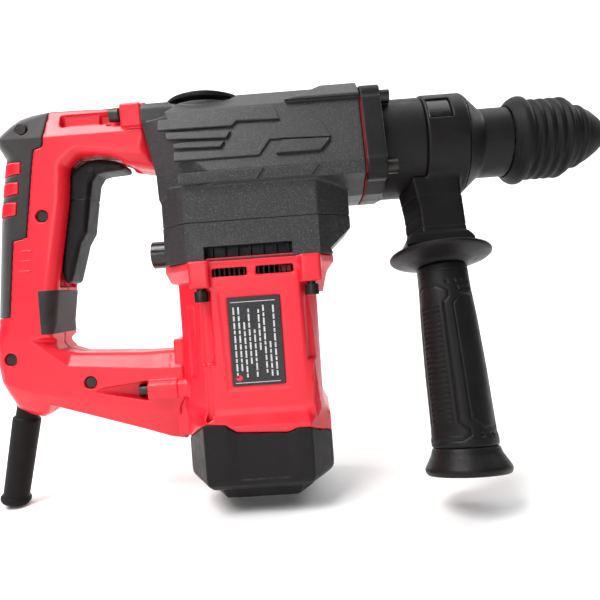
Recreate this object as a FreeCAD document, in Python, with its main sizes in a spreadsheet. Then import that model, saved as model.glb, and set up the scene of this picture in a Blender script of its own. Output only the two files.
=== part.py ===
import FreeCAD, Part
import math
import os
import re
import Sketcher

# Rotary hammer with a vertical motor.  Frame: +Z up, +X towards the chuck.
# Origin: centre of the motor cap's foot, on the motor axis.  Lengths in mm.
# Heights are drawn above a datum plane that lies foot_z below the foot; every piece is written lowered by foot_z.

doc = FreeCAD.newDocument("RotaryHammer")
dims = doc.addObject("Spreadsheet::Sheet", "Dims")
Vector = FreeCAD.Vector

DIMENSIONS = {
    # axes of the machine
    "spindle_z": 228.0, "crank_x": -22.0, "layshaft_x": 26.0, "aux_x": 124.2, "aux_swing": 14.8,
    # gear housing casting
    "wall": 3.5, "housing_back": -60.0, "housing_front": 78.0, "roof": 268.0, "roof_half": 15.0,
    "shoulder_y": 33.0, "shoulder_z": 254.0, "side_y": 44.0, "side_z": 219.0, "belt_y": 46.0,
    "belt_top": 212.5, "belt_bottom": 205.0, "belly_z": 195.0, "seam_z": 182.5, "base_bottom": 159.5,
    "base_back": -50.0, "base_front": 67.6, "corner_y": 28.0, "face_back": -33.0, "face_front": 47.6,
    "knob_boss": 27.0, "screw_boss": 7.5, "flange_screw_y": 24.0, "flange_screw_z": 256.0,
    "belt_screw_y": 39.5, "belt_screw_z": 208.5,
    # front cover and gasket
    "gasket": 1.2, "cover_front": 91.0, "barrel": 32.2, "collar_back": 118.5, "collar_front": 146.0,
    "neck": 27.6, "cone_big": 32.5, "cone_end": 155.5, "nose": 22.5, "nose_front": 176.0,
    "cover_bore": 22.0, "seal_bore": 17.2, "bore_step": 140.0,
    # motor housing, cap and their parts
    "foot_z": 10.0,
    "motor_y": 42.3, "motor_back": -45.0, "motor_front": 44.5, "rim_bottom": 149.0, "motor_bore": 39.5,
    "flare_top": 68.0, "flare_bottom": 54.0, "cap_x": 48.0, "cap_y": 46.0, "joint_high": 57.0,
    "joint_low": 44.0, "boss_back_x": -26.3, "boss_front_x": 41.0, "motor_screw_y": 40.9,
    "motor_boss_z": 141.6, "bolt_head": 4.25, "bolt_shank": 2.5, "plate_x": 5.2, "plate_half": 16.0,
    "plate_bottom": 82.9, "plate_top": 136.5, "fan_radius": 36.0, "core_bottom": 73.0, "core_top": 123.0,
    "core_radius": 39.2, "armature": 22.6, "shaft": 4.0, "commutator": 13.0, "bearing": 11.0,
    # gears
    "gear_bottom": 178.0, "gear_top": 191.0, "gear_module": 1.0, "bevel_module": 1.5, "crank_throw": 12.0,
    "plate_low": 193.0, "plate_high": 198.5, "crank_shaft": 6.0, "layshaft": 5.0,
    # hammer mechanism, along the spindle
    "cylinder_back": 2.0, "cylinder_front": 96.0, "cylinder_outer": 18.5, "cylinder_bore": 13.5,
    "holder_front": 232.0, "holder_root": 18.5, "holder_mid": 16.0, "holder_outer": 13.5,
    "impact_bore": 8.0, "shank_bore": 5.05, "nose_bore": 5.3, "shank_end": 170.0, "impact_stop": 140.0,
    "ball_x": 192.5, "pin_x": 14.0, "rod_length": 48.0,
    "sleeve_front": 215.0, "sleeve_back": 176.0, "sleeve": 26.1, "sleeve_flange": 28.0, "cap_tip": 241.0,
    # handle
    "grip_half": 19.5, "handle_chamfer": 5.0, "skin": 2.5, "trigger_half": 10.5, "pivot_x": -100.0,
    "pivot_z": 228.0, "guard_outer": 9.0, "guard_bore": 4.2, "guard_x": -159.1, "guard_z": 76.5,
    "handle_hole": 2.6,
    # the small selector knob at the back of the gearbox base
    "knob_rise": 9.4,
    # auxiliary handle, measured along its own axis from the spindle
    "aux_disc": 76.6, "aux_disc_radius": 32.0, "aux_end": 210.2, "aux_stem": 15.5, "collar_radius": 33.0,
    # clearances
    "running": 0.05, "fit_gap": 0.3,
}


def write_dimensions():
    """One row of the sheet for each driving dimension: its name and its value."""
    for row, (name, number) in enumerate(DIMENSIONS.items(), start=1):
        dims.set(f"A{row}", name)
        dims.set(f"B{row}", str(number))
        dims.setAlias(f"B{row}", name)
    doc.recompute()


write_dimensions()
WORD = re.compile(r"[a-z][a-z0-9_]*")


def bound(text):
    """An expression on the sheet, from text that uses the bare names."""
    return WORD.sub(lambda w: "Dims." + w.group() if w.group() in DIMENSIONS else w.group(), str(text))


def value(text):
    """The present value of an expression in millimetres or degrees."""
    return float(dims.evalExpression(bound(text)))


def bind(item, prop, text):
    """Sets a property at once and keeps it bound to the sheet."""
    item.setExpression(prop, bound(text))


# ---------------------------------------------------------------- sketches and features

def origin_plane(body, role):
    return [feature for feature in body.Origin.OriginFeatures if feature.Role == role][0]


def sketch(body, role, height="0"):
    drawn = body.newObject("Sketcher::SketchObject", body.Label + "_sketch")
    drawn.AttachmentSupport = (origin_plane(body, role), [""])
    drawn.MapMode = "FlatFace"
    bind(drawn, "AttachmentOffset.Base.z", height)
    return drawn


def pin(drawn, edge, place, u, v):
    """Holds one point of a sketch at bound coordinates."""
    for kind, text in (("DistanceX", u), ("DistanceY", v)):
        index = drawn.addConstraint(Sketcher.Constraint(kind, -1, 1, edge, place, value(text)))
        drawn.setExpression(f"Constraints[{index}]", bound(text))


def outline(drawn, points):
    first = drawn.GeometryCount
    count = len(points)
    corners = [Vector(value(u), value(v), 0) for u, v in points]
    for i in range(count):
        drawn.addGeometry(Part.LineSegment(corners[i], corners[(i + 1) % count]), False)
    for i in range(count):
        drawn.addConstraint(Sketcher.Constraint("Coincident", first + i, 2, first + (i + 1) % count, 1))
    for i, (u, v) in enumerate(points):
        pin(drawn, first + i, 1, u, v)
    return drawn


def ring(drawn, u, v, radius):
    edge = drawn.addGeometry(Part.Circle(Vector(value(u), value(v), 0), Vector(0, 0, 1), value(radius)), False)
    pin(drawn, edge, 3, u, v)
    index = drawn.addConstraint(Sketcher.Constraint("Radius", edge, value(radius)))
    drawn.setExpression(f"Constraints[{index}]", bound(radius))
    return drawn


def new_body(label, x="0", z="0"):
    body = doc.addObject("PartDesign::Body", label)
    body.Label = label
    bind(body, "Placement.Base.x", x)
    bind(body, "Placement.Base.z", z)
    return body


def grow(body, kind, drawn, length, side="One side", back=False):
    feature = body.newObject("PartDesign::" + kind, body.Label + "_" + kind.lower())
    feature.Profile = drawn
    feature.SideType = side
    feature.Reversed = back
    bind(feature, "Length", length)
    drawn.Visibility = False
    return feature


def pad(body, drawn, length, side="One side", back=False):
    return grow(body, "Pad", drawn, length, side, back)


def pocket(body, drawn, length, side="One side", back=False):
    """Cuts, and checks that something was cut."""
    doc.recompute()
    before = body.Shape.Volume
    feature = grow(body, "Pocket", drawn, length, side, back)
    doc.recompute()
    if not body.Shape.Volume < before - 0.01:
        raise ValueError("a pocket in " + body.Label + " cuts nothing")
    return feature


def revolve(body, points, axis):
    """A turned solid: the profile lies in XZ, and the axis is the sketch's H or V axis."""
    drawn = outline(sketch(body, "XZ_Plane"), points)
    feature = body.newObject("PartDesign::Revolution", body.Label + "_turned")
    feature.Profile = drawn
    feature.ReferenceAxis = (drawn, [axis])
    feature.Angle = 360.0
    return feature


def turned_on_spindle(label, points):
    """A piece turned about the spindle; points are (x, radius)."""
    body = new_body(label, z="spindle_z")
    revolve(body, points, "H_Axis")
    return body


def turned_upright(label, points, x="0"):
    """A piece turned about a vertical axis at x; points are (radius, z)."""
    body = new_body(label, x=x)
    revolve(body, points, "V_Axis")
    return body


def tube(inner, outer, low, high):
    """The profile of a plain ring or sleeve, as (radius, station)."""
    return [(inner, low), (outer, low), (outer, high), (inner, high)]


def swapped(points):
    return [(b, a) for a, b in points]


def round_part(radius, length, base, axis=(0, 0, 1)):
    """A Part cylinder with bound size, from a bound base point, along an axis."""
    item = doc.addObject("Part::Cylinder", "round")
    bind(item, "Radius", radius)
    bind(item, "Height", length)
    item.Placement.Rotation = FreeCAD.Rotation(Vector(0, 0, 1), Vector(*axis))
    for name, text in zip("xyz", base):
        bind(item, "Placement.Base." + name, text)
    return item


def block(low, high):
    """A Part box between two bound corners."""
    item = doc.addObject("Part::Box", "block")
    for name, size, a, b in zip("xyz", ("Length", "Width", "Height"), low, high):
        bind(item, "Placement.Base." + name, a)
        bind(item, size, f"({b}) - ({a})")
    return item


def joined(parts, label="joined"):
    item = doc.addObject("Part::MultiFuse", label)
    item.Shapes = parts
    item.Label = label
    return item


def without(base, tool, label="cut"):
    item = doc.addObject("Part::Cut", label)
    item.Base = base
    item.Tool = tool
    item.Label = label
    return item


def shared(first, second, label="common"):
    item = doc.addObject("Part::MultiCommon", label)
    item.Shapes = [first, second]
    item.Label = label
    return item


def group(parts, label):
    """Separate pieces of one kind, kept in one node."""
    item = doc.addObject("Part::Compound", label)
    item.Links = parts
    item.Label = label
    return item


def plate(points, low, high, plane="XZ"):
    """A prism from an outline in XZ (thickness along Y) or in XY (thickness along Z)."""
    drawn = doc.addObject("Sketcher::SketchObject", "outline")
    outline(drawn, points)
    item = doc.addObject("Part::Extrusion", "prism")
    item.Base = drawn
    item.Solid = True
    item.DirMode = "Custom"
    if plane == "XZ":
        drawn.Placement.Rotation = FreeCAD.Rotation(Vector(1, 0, 0), 90)
        item.Dir = Vector(0, 1, 0)
    else:
        item.Dir = Vector(0, 0, 1)
    bind(item, "LengthFwd", high)
    bind(item, "LengthRev", f"-({low})")
    return item


def socket_screw(x, y, z, direction, shank):
    """A cap screw whose head stands on the face at (x, y, z) and points along the direction."""
    dx, dy, dz = direction
    head_height = 6.5
    back = (-dx, -dy, -dz)
    head = round_part("bolt_head", str(head_height), (x, y, z), direction)
    deep = "3.4"
    mouth = (f"{x} + {dx * 3.2}", f"{y} + {dy * 3.2}", f"{z} + {dz * 3.2}")
    hexagon = doc.addObject("Part::Prism", "socket")
    hexagon.Polygon = 6
    hexagon.Circumradius = 2.3
    bind(hexagon, "Height", deep)
    hexagon.Placement.Rotation = FreeCAD.Rotation(Vector(0, 0, 1), Vector(*direction))
    for name, text in zip("xyz", mouth):
        bind(hexagon, "Placement.Base." + name, text)
    body = round_part("bolt_shank", str(shank), (x, y, z), back)
    return joined([without(head, hexagon), body], "screw")


# ---------------------------------------------------------------- castings

HOUSING_SECTION = [("side_y", "side_z"), ("shoulder_y", "shoulder_z"), ("roof_half", "roof"),
                   ("-roof_half", "roof"), ("-shoulder_y", "shoulder_z"), ("-side_y", "side_z"),
                   ("-belt_y", "belt_top"), ("-belt_y", "belt_bottom"), ("-38", "203"), ("-20", "belly_z + 1"),
                   ("0", "belly_z"), ("20", "belly_z + 1"), ("38", "203"), ("belt_y", "belt_bottom"),
                   ("belt_y", "belt_top")]
CAVITY_SECTION = [("side_y - wall", "side_z - 1"), ("shoulder_y - wall + 0.6", "shoulder_z - 2"),
                  ("roof_half - 1", "roof - wall"), ("-roof_half + 1", "roof - wall"),
                  ("-shoulder_y + wall - 0.6", "shoulder_z - 2"), ("-side_y + wall", "side_z - 1"),
                  ("-side_y + wall", "belly_z + 8"), ("-20", "belly_z + 5"), ("20", "belly_z + 5"),
                  ("side_y - wall", "belly_z + 8")]


def base_plan(inset):
    """Plan of the gearbox base, drawn in by an inset."""
    back, front = f"base_back + ({inset})", f"base_front - ({inset})"
    corner, side = f"corner_y - ({inset}) * 0.45", f"side_y - ({inset})"
    left, right = f"face_back + ({inset}) * 0.45", f"face_front - ({inset}) * 0.45"
    near = [(back, f"-({corner})"), (left, f"-({side})"), (right, f"-({side})"), (front, f"-({corner})")]
    return near + [(u, v[2:-1]) for u, v in reversed(near)]


def gear_housing():
    body = new_body("gear_housing")
    pad(body, outline(sketch(body, "YZ_Plane", "housing_back"), HOUSING_SECTION), "housing_front - housing_back")
    for sign in (1, -1):
        corner = [("face_back - 3", f"{sign} * 60"), ("face_back - 3", f"{sign} * side_y"),
                  ("base_back", f"{sign} * shoulder_y"), ("housing_back - 5", f"{sign} * 21"),
                  ("housing_back - 5", f"{sign} * 60")]
        pocket(body, outline(sketch(body, "XY_Plane", "roof + 5"), corner), "100")
    slant = [("housing_back - 1", "belly_z - 1"), ("housing_back - 1", "shoulder_z - 6"),
             ("housing_back", "shoulder_z - 6"), ("base_back - 1", "side_z - 1"), ("base_back", "belly_z - 1")]
    pocket(body, outline(sketch(body, "XZ_Plane"), slant), "120", side="Symmetric")
    pad(body, outline(sketch(body, "XY_Plane", "seam_z"), base_plan("0")), "22")
    pad(body, ring(sketch(body, "XY_Plane", "roof - 16"), "crank_x", "0", "knob_boss"), "13")
    pocket(body, outline(sketch(body, "YZ_Plane", "housing_front + 1"), CAVITY_SECTION),
           "housing_front - base_back - wall", back=False)
    pocket(body, outline(sketch(body, "XY_Plane", "seam_z - 1"), base_plan("wall")), "24", back=True)
    bosses = sketch(body, "YZ_Plane", "housing_front")
    for sign in (1, -1):
        ring(bosses, f"{sign} * flange_screw_y", "flange_screw_z", "screw_boss")
    pad(body, bosses, "30", back=True)
    low = sketch(body, "YZ_Plane", "housing_front")
    for sign in (1, -1):
        ring(low, f"{sign} * belt_screw_y", "belt_screw_z", "screw_boss - 1.5")
    pad(body, low, "14", back=True)
    rear = sketch(body, "YZ_Plane", "housing_back")
    for sign in (1, -1):
        ring(rear, f"{sign} * 17", "roof - 8", "6.5")
    pad(body, rear, "20")
    holes = sketch(body, "YZ_Plane", "housing_front")
    for sign in (1, -1):
        ring(holes, f"{sign} * flange_screw_y", "flange_screw_z", "bolt_shank + 0.05")
        ring(holes, f"{sign} * belt_screw_y", "belt_screw_z", "bolt_shank + 0.05")
    pocket(body, holes, "13", back=False)
    handle_holes = sketch(body, "YZ_Plane", "housing_back")
    for sign in (1, -1):
        ring(handle_holes, f"{sign} * 17", "roof - 8", "bolt_shank + 0.05")
    pocket(body, handle_holes, "14", back=True)
    pocket(body, ring(sketch(body, "XY_Plane", "roof + 3"), "crank_x", "0", "knob_boss + 0.6"), "6")
    pocket(body, ring(sketch(body, "XY_Plane", "roof + 3"), "crank_x", "0", "6"), "20")
    return body


def gearbox_base():
    body = new_body("gearbox_base")
    pad(body, outline(sketch(body, "XY_Plane", "base_bottom"), base_plan("0")), "seam_z - base_bottom")
    slope = [("base_front + 1", "base_bottom - 1"), ("56", "base_bottom - 1"), ("54", "base_bottom + 3"),
             ("base_front", "seam_z - 7.5"), ("base_front + 1", "seam_z - 7.5")]
    pocket(body, outline(sketch(body, "XZ_Plane"), slope), "120", side="Symmetric")
    pocket(body, outline(sketch(body, "XY_Plane", "seam_z"), base_plan("7.5")), "seam_z - 177")
    pocket(body, ring(sketch(body, "XY_Plane", "base_bottom"), "0", "0", "motor_bore"), "8.5", back=True)
    pocket(body, ring(sketch(body, "XY_Plane", "175"), "0", "0", "bearing + running"), "7")
    pocket(body, ring(sketch(body, "XY_Plane", "177"), "0", "0", "shaft + 2"), "12")
    window = [("-22.3", "base_bottom + 0.8"), ("31", "base_bottom + 0.8"), ("31", "168"), ("-22.3", "168")]
    pocket(body, outline(sketch(body, "XZ_Plane", "20"), window), "40", back=True)
    journals = sketch(body, "XY_Plane", "177")
    ring(journals, "crank_x", "0", "crank_shaft + running")
    ring(journals, "layshaft_x", "0", "layshaft + running")
    pocket(body, journals, "6")
    screws = sketch(body, "XY_Plane", "base_bottom")
    for sign in (1, -1):
        for x in ("boss_back_x", "boss_front_x"):
            ring(screws, x, f"{sign} * motor_screw_y", "bolt_shank + 0.05")
    pocket(body, screws, "12", back=True)
    knob = sketch(body, "YZ_Plane", "base_back")
    ring(knob, "0", "base_bottom + knob_rise", "4")
    pocket(body, knob, "6", back=True)
    return body


def cover_outline():
    return [("side_y", "side_z"), ("shoulder_y", "shoulder_z"), ("roof_half", "roof - 1"),
            ("-roof_half", "roof - 1"), ("-shoulder_y", "shoulder_z"), ("-side_y", "side_z"),
            ("-belt_y", "belt_top"), ("-belt_y", "belt_bottom"), ("-38", "203"), ("-20", "belly_z + 1"),
            ("0", "belly_z"), ("20", "belly_z + 1"), ("38", "203"), ("belt_y", "belt_bottom"),
            ("belt_y", "belt_top")]


def flange_holes(body, at, depth):
    holes = sketch(body, "YZ_Plane", at)
    for sign in (1, -1):
        ring(holes, f"{sign} * flange_screw_y", "flange_screw_z", "bolt_shank + 0.05")
        ring(holes, f"{sign} * belt_screw_y", "belt_screw_z", "bolt_shank + 0.05")
    pocket(body, holes, depth)


def front_gasket():
    body = new_body("front_gasket")
    pad(body, outline(sketch(body, "YZ_Plane", "housing_front"), cover_outline()), "gasket")
    pocket(body, ring(sketch(body, "YZ_Plane", "housing_front + gasket"), "0", "spindle_z", "29"), "gasket")
    flange_holes(body, "housing_front + gasket", "gasket")
    return body


def front_cover():
    body = new_body("front_cover")
    face = "housing_front + gasket"
    pad(body, outline(sketch(body, "YZ_Plane", face), cover_outline()), f"cover_front - ({face})")
    bosses = sketch(body, "YZ_Plane", face)
    for sign in (1, -1):
        ring(bosses, f"{sign} * flange_screw_y", "flange_screw_z", "screw_boss")
    pad(body, bosses, f"cover_front - ({face})")
    doc.recompute()
    profile = [("cover_front - 4", "0.5"), ("cover_front - 4", "barrel"), ("collar_back", "barrel"),
               ("collar_back", "neck"), ("collar_front", "neck"), ("collar_front", "cone_big"),
               ("cone_end", "nose + 0.5"), ("cone_end", "nose"), ("nose_front", "nose"), ("nose_front", "0.5")]
    drawn = outline(sketch(body, "XZ_Plane"), [(x, f"spindle_z + {r}") for x, r in profile])
    axis_line = drawn.addGeometry(Part.LineSegment(Vector(0, value("spindle_z"), 0),
                                                   Vector(10, value("spindle_z"), 0)), True)
    pin(drawn, axis_line, 1, "0", "spindle_z")
    pin(drawn, axis_line, 2, "10", "spindle_z")
    turned = body.newObject("PartDesign::Revolution", "cover_turned")
    turned.Profile = drawn
    turned.ReferenceAxis = (drawn, ["Axis0"])
    turned.Angle = 360.0
    pocket(body, ring(sketch(body, "YZ_Plane", face), "0", "spindle_z", "cover_bore"),
           "bore_step - housing_front - gasket", back=True)
    pocket(body, ring(sketch(body, "YZ_Plane", "nose_front"), "0", "spindle_z", "seal_bore"),
           "nose_front - bore_step + 1")
    flange_holes(body, "cover_front", "cover_front - housing_front - gasket")
    return body


def flange_screws():
    spots = [("flange_screw_y", "flange_screw_z"), ("belt_screw_y", "belt_screw_z")]
    parts = [socket_screw("cover_front", f"{sign} * {y}", z, (1, 0, 0), 24)
             for y, z in spots for sign in (1, -1)]
    return group(parts, "front_cover_screws")


# ---------------------------------------------------------------- motor housing and cap

def mirrored_plan(near):
    """A closed plan from its near side, given with negative Y, and the same points at positive Y."""
    return near + [(x, f"-({y})") for x, y in reversed(near)]


MOTOR_PLAN = mirrored_plan([("motor_back", "-20"), ("-23", "-motor_y"), ("36", "-motor_y"), ("motor_front", "-26")])
CAP_PLAN = mirrored_plan([("-cap_x", "-18"), ("-31", "-cap_y"), ("35", "-cap_y"), ("cap_x + 1", "-24")])
RIM_PLAN = mirrored_plan([("-54", "-15"), ("-33", "-side_y"), ("45.6", "-side_y"), ("56", "-22")])


def scaled_plan(plan, factor):
    return [(f"({x}) * {factor}", f"({y}) * {factor}") for x, y in plan]


def loft(body, levels, subtract=False):
    """A ruled loft through plans at rising heights."""
    drawn = [outline(sketch(body, "XY_Plane", z), plan) for z, plan in levels]
    kind = "SubtractiveLoft" if subtract else "AdditiveLoft"
    feature = body.newObject("PartDesign::" + kind, body.Label + "_loft")
    feature.Profile = drawn[0]
    feature.Sections = drawn[1:]
    feature.Ruled = True
    return feature


def wave(side):
    """Side view of the joint between motor housing and cap; side is the far edge of the cut."""
    return [("-60", side), ("-60", "joint_high"), ("-cap_y", "joint_high"), ("-20", "joint_low"),
            ("20", "joint_low"), ("cap_y", "joint_high"), ("60", "joint_high"), ("60", side)]


def motor_housing():
    body = new_body("motor_housing")
    pad(body, outline(sketch(body, "XY_Plane", "flare_top"), MOTOR_PLAN), "rim_bottom - flare_top")
    pad(body, outline(sketch(body, "XY_Plane", "rim_bottom"), RIM_PLAN), "base_bottom - rim_bottom")
    loft(body, [("40", CAP_PLAN), ("flare_bottom", CAP_PLAN), ("flare_top", MOTOR_PLAN)])
    bosses = sketch(body, "XY_Plane", "motor_boss_z")
    for sign in (1, -1):
        for x in ("boss_back_x", "boss_front_x"):
            ring(bosses, x, f"{sign} * motor_screw_y", "5")
    pad(body, bosses, "base_bottom - motor_boss_z")
    pocket(body, ring(sketch(body, "XY_Plane", "base_bottom"), "0", "0", "motor_bore"), "130")
    pocket(body, outline(sketch(body, "YZ_Plane"), wave("30")), "140", side="Symmetric")
    channels = sketch(body, "XY_Plane", "motor_boss_z")
    holes = sketch(body, "XY_Plane", "base_bottom")
    for sign in (1, -1):
        for x in ("boss_back_x", "boss_front_x"):
            ring(channels, x, f"{sign} * motor_screw_y", "5.2")
            ring(holes, x, f"{sign} * motor_screw_y", "bolt_shank + 0.05")
    pocket(body, channels, "26")
    pocket(body, holes, "20")
    recess = [("plate_x - plate_half - 1", "plate_bottom - 1"), ("plate_x + plate_half + 1", "plate_bottom - 1"),
              ("plate_x + plate_half + 1", "plate_top + 1"), ("plate_x - plate_half - 1", "plate_top + 1")]
    pocket(body, outline(sketch(body, "XZ_Plane", "motor_y"), recess), "0.8")
    for sign in (1, -1):
        for low, high in (("-19", "2.3"), ("7.5", "30.5")):
            slot = [(low, "150"), (high, "150"), (high, "154.6"), (low, "154.6")]
            pocket(body, outline(sketch(body, "XZ_Plane", f"{sign} * 46"), slot), "16", back=sign < 0)
    return body


def motor_cap():
    body = new_body("motor_cap")
    loft(body, [("foot_z", scaled_plan(CAP_PLAN, 0.64)), ("foot_z + 1.5", scaled_plan(CAP_PLAN, 0.7)),
                ("foot_z + 8.5", scaled_plan(CAP_PLAN, 0.78)), ("foot_z + 10", scaled_plan(CAP_PLAN, 0.9)),
                ("foot_z + 13.5", scaled_plan(CAP_PLAN, 0.98)), ("foot_z + 16.5", CAP_PLAN),
                ("joint_high + 3", CAP_PLAN)])
    doc.recompute()
    pocket(body, outline(sketch(body, "XY_Plane", "joint_high + 4"), scaled_plan(CAP_PLAN, 0.91)), "36")
    pocket(body, outline(sketch(body, "XY_Plane", "30"), scaled_plan(CAP_PLAN, 0.6)), "16.5")
    pocket(body, outline(sketch(body, "YZ_Plane"), wave("70")), "140", side="Symmetric")
    return body


def motor_screws():
    parts = [socket_screw(x, f"{sign} * motor_screw_y", "motor_boss_z", (0, 0, -1), 28)
             for x in ("boss_back_x", "boss_front_x") for sign in (1, -1)]
    return group(parts, "motor_housing_screws")


def rating_plate():
    low = ("plate_x - plate_half", "-motor_y - 0.2", "plate_bottom")
    high = ("plate_x + plate_half", "-motor_y + 0.8", "plate_top")
    item = block(low, high)
    item.Label = "rating_plate"
    return item


# ---------------------------------------------------------------- motor

def fan():
    """A radial fan: a hub and disc, with blades standing below the disc."""
    hub = round_part("9", "13", ("0", "0", "142"))
    disc = round_part("fan_radius", "2", ("0", "0", "153"))
    bore = round_part("shaft + running", "20", ("0", "0", "140"))
    blades = []
    blade_count = 12
    for i in range(blade_count):
        blade = block(("12", "-0.8", "144"), ("fan_radius - 1", "0.8", "153"))
        turned = group([blade], "blade")
        turned.Placement.Rotation = FreeCAD.Rotation(Vector(0, 0, 1), 360 * i / blade_count)
        blades.append(turned)
    return without(joined([hub, disc] + blades), bore, "fan")


def motor_parts():
    turned_upright("field_core", tube("armature + 0.8", "core_radius", "core_bottom", "core_top"))
    coils = [round_part("37", "10", ("0", "0", z)) for z in ("core_top + 0.3", "core_bottom - 10.3")]
    inner = [round_part("26", "12", ("0", "0", z)) for z in ("core_top - 1", "core_bottom - 11")]
    group([without(a, b) for a, b in zip(coils, inner)], "field_coils")
    turned_upright("armature_core", tube("shaft + running", "armature", "core_bottom", "core_top"))
    windings = [("shaft + running", "core_top + 0.1"), ("19", "core_top + 0.1"), ("17", "core_top + 10"),
                ("9", "core_top + 12"), ("shaft + running", "core_top + 12")]
    turned_upright("armature_windings", windings)
    turned_upright("commutator", tube("shaft + running", "commutator", "46", "60"))
    bearings = []
    for low in ("168", "28"):
        bearings.append(without(round_part("bearing", "7", ("0", "0", low)),
                                round_part("shaft + running", "9", ("0", "0", low + " - 1"))))
    group(bearings, "armature_bearings")
    bracket = [("bearing + running", "27"), ("bearing + 3.5", "27"), ("bearing + 3.5", "35"),
               ("core_radius", "35"), ("core_radius", "71"), ("core_radius - 2", "71"),
               ("core_radius - 2", "38"), ("6", "38"), ("6", "35.2"), ("bearing + running", "35.2")]
    turned_upright("bearing_bracket", bracket)
    brushes = [block(("-4", f"{y} - 6.5", "48"), ("4", f"{y} + 6.5", "57")) for y in ("20", "-20")]
    group(brushes, "brushes")
    holders = []
    for y in ("26", "-26"):
        case = block(("-6.5", f"{y} - 10", "45"), ("6.5", f"{y} + 10", "60"))
        hollow = block(("-4.1", f"{y} - 12", "47.9"), ("4.1", f"{y} + 8", "57.1"))
        if y.startswith("-"):
            hollow = block(("-4.1", f"{y} - 8", "47.9"), ("4.1", f"{y} + 12", "57.1"))
        holders.append(without(case, hollow))
    group(holders, "brush_holders")


# ---------------------------------------------------------------- gears

PRESSURE = math.radians(20.0)


def involute(angle):
    return math.tan(angle) - angle


def half_angle(teeth, module, radius, play):
    """Half the angle that a tooth takes up at a radius."""
    pitch = teeth * module / 2.0
    base = pitch * math.cos(PRESSURE)
    rest = math.pi / (2.0 * teeth) - play / (2.0 * pitch) + involute(PRESSURE)
    return rest - involute(math.acos(min(1.0, base / max(radius, base))))


def spur_face(teeth, module, play, tip, root, turn):
    """A spur gear's face: each tooth has five heights on each flank."""
    pitch = teeth * module / 2.0
    heights = [root + (tip - root) * k / 4.0 for k in range(5)]
    points = []
    for i in range(teeth):
        centre = turn + 2.0 * math.pi * i / teeth
        left = [(pitch + h * module, centre - half_angle(teeth, module, pitch + h * module, play)) for h in heights]
        right = [(pitch + h * module, centre + half_angle(teeth, module, pitch + h * module, play))
                 for h in reversed(heights)]
        points += [Vector(r * math.cos(a), r * math.sin(a), 0) for r, a in left + right]
    return Part.Face(Part.makePolygon(points + points[:1]))


def spur_gear(label, teeth, x, play, tip, root, turn, extra):
    """A toothed wheel on a stepped shaft; extra is a list of (radius, low, high) cylinders."""
    face = spur_face(teeth, value("gear_module"), play, tip, root, turn)
    face.translate(Vector(0, 0, value("gear_bottom")))
    solid = face.extrude(Vector(0, 0, value("gear_top") - value("gear_bottom")))
    for radius, low, high in extra:
        solid = solid.fuse(Part.makeCylinder(radius, high - low, Vector(0, 0, low)))
    return feature(label, solid.removeSplitter(), x=x)


def feature(label, shape, x="0", z="0"):
    item = doc.addObject("Part::Feature", label)
    item.Label = label
    item.Shape = shape
    item.Placement = FreeCAD.Placement(Vector(value(x), 0, value(z)), FreeCAD.Rotation()).multiply(shape.Placement)
    return item


def bevel_tooth(teeth, module, cone, tip, root, play, scale):
    """One bevel tooth about local +Z with its apex at the origin, as a ruled loft towards the apex."""
    pitch = teeth * module / 2.0
    slant = pitch / math.sin(cone)
    virtual = pitch / math.cos(cone)
    heights = [root + (tip - root) * k / 3.0 for k in range(4)]
    along = Vector(math.sin(cone), 0, math.cos(cone))
    outward = Vector(math.cos(cone), 0, -math.sin(cone))
    across = Vector(0, 1, 0)

    def section(size):
        points = []
        for sign, steps in ((-1, heights), (1, list(reversed(heights)))):
            for h in steps:
                radius = virtual + h * module
                angle = sign * half_angle(teeth / math.cos(cone), module, radius, play)
                points.append((along * slant + outward * (radius * math.cos(angle) - virtual)
                               + across * (radius * math.sin(angle))) * size)
        return Part.makePolygon(points + points[:1])

    return Part.makeLoft([section(scale), section(1.0)], True, True)


PINION_TEETH = 8
CRANK_TEETH = 36
LAYSHAFT_TEETH = 44
BEVEL_TEETH = 9
RING_TEETH = 36
GEAR_PLAY = 0.35
BEVEL_SCALE = 0.76


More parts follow.
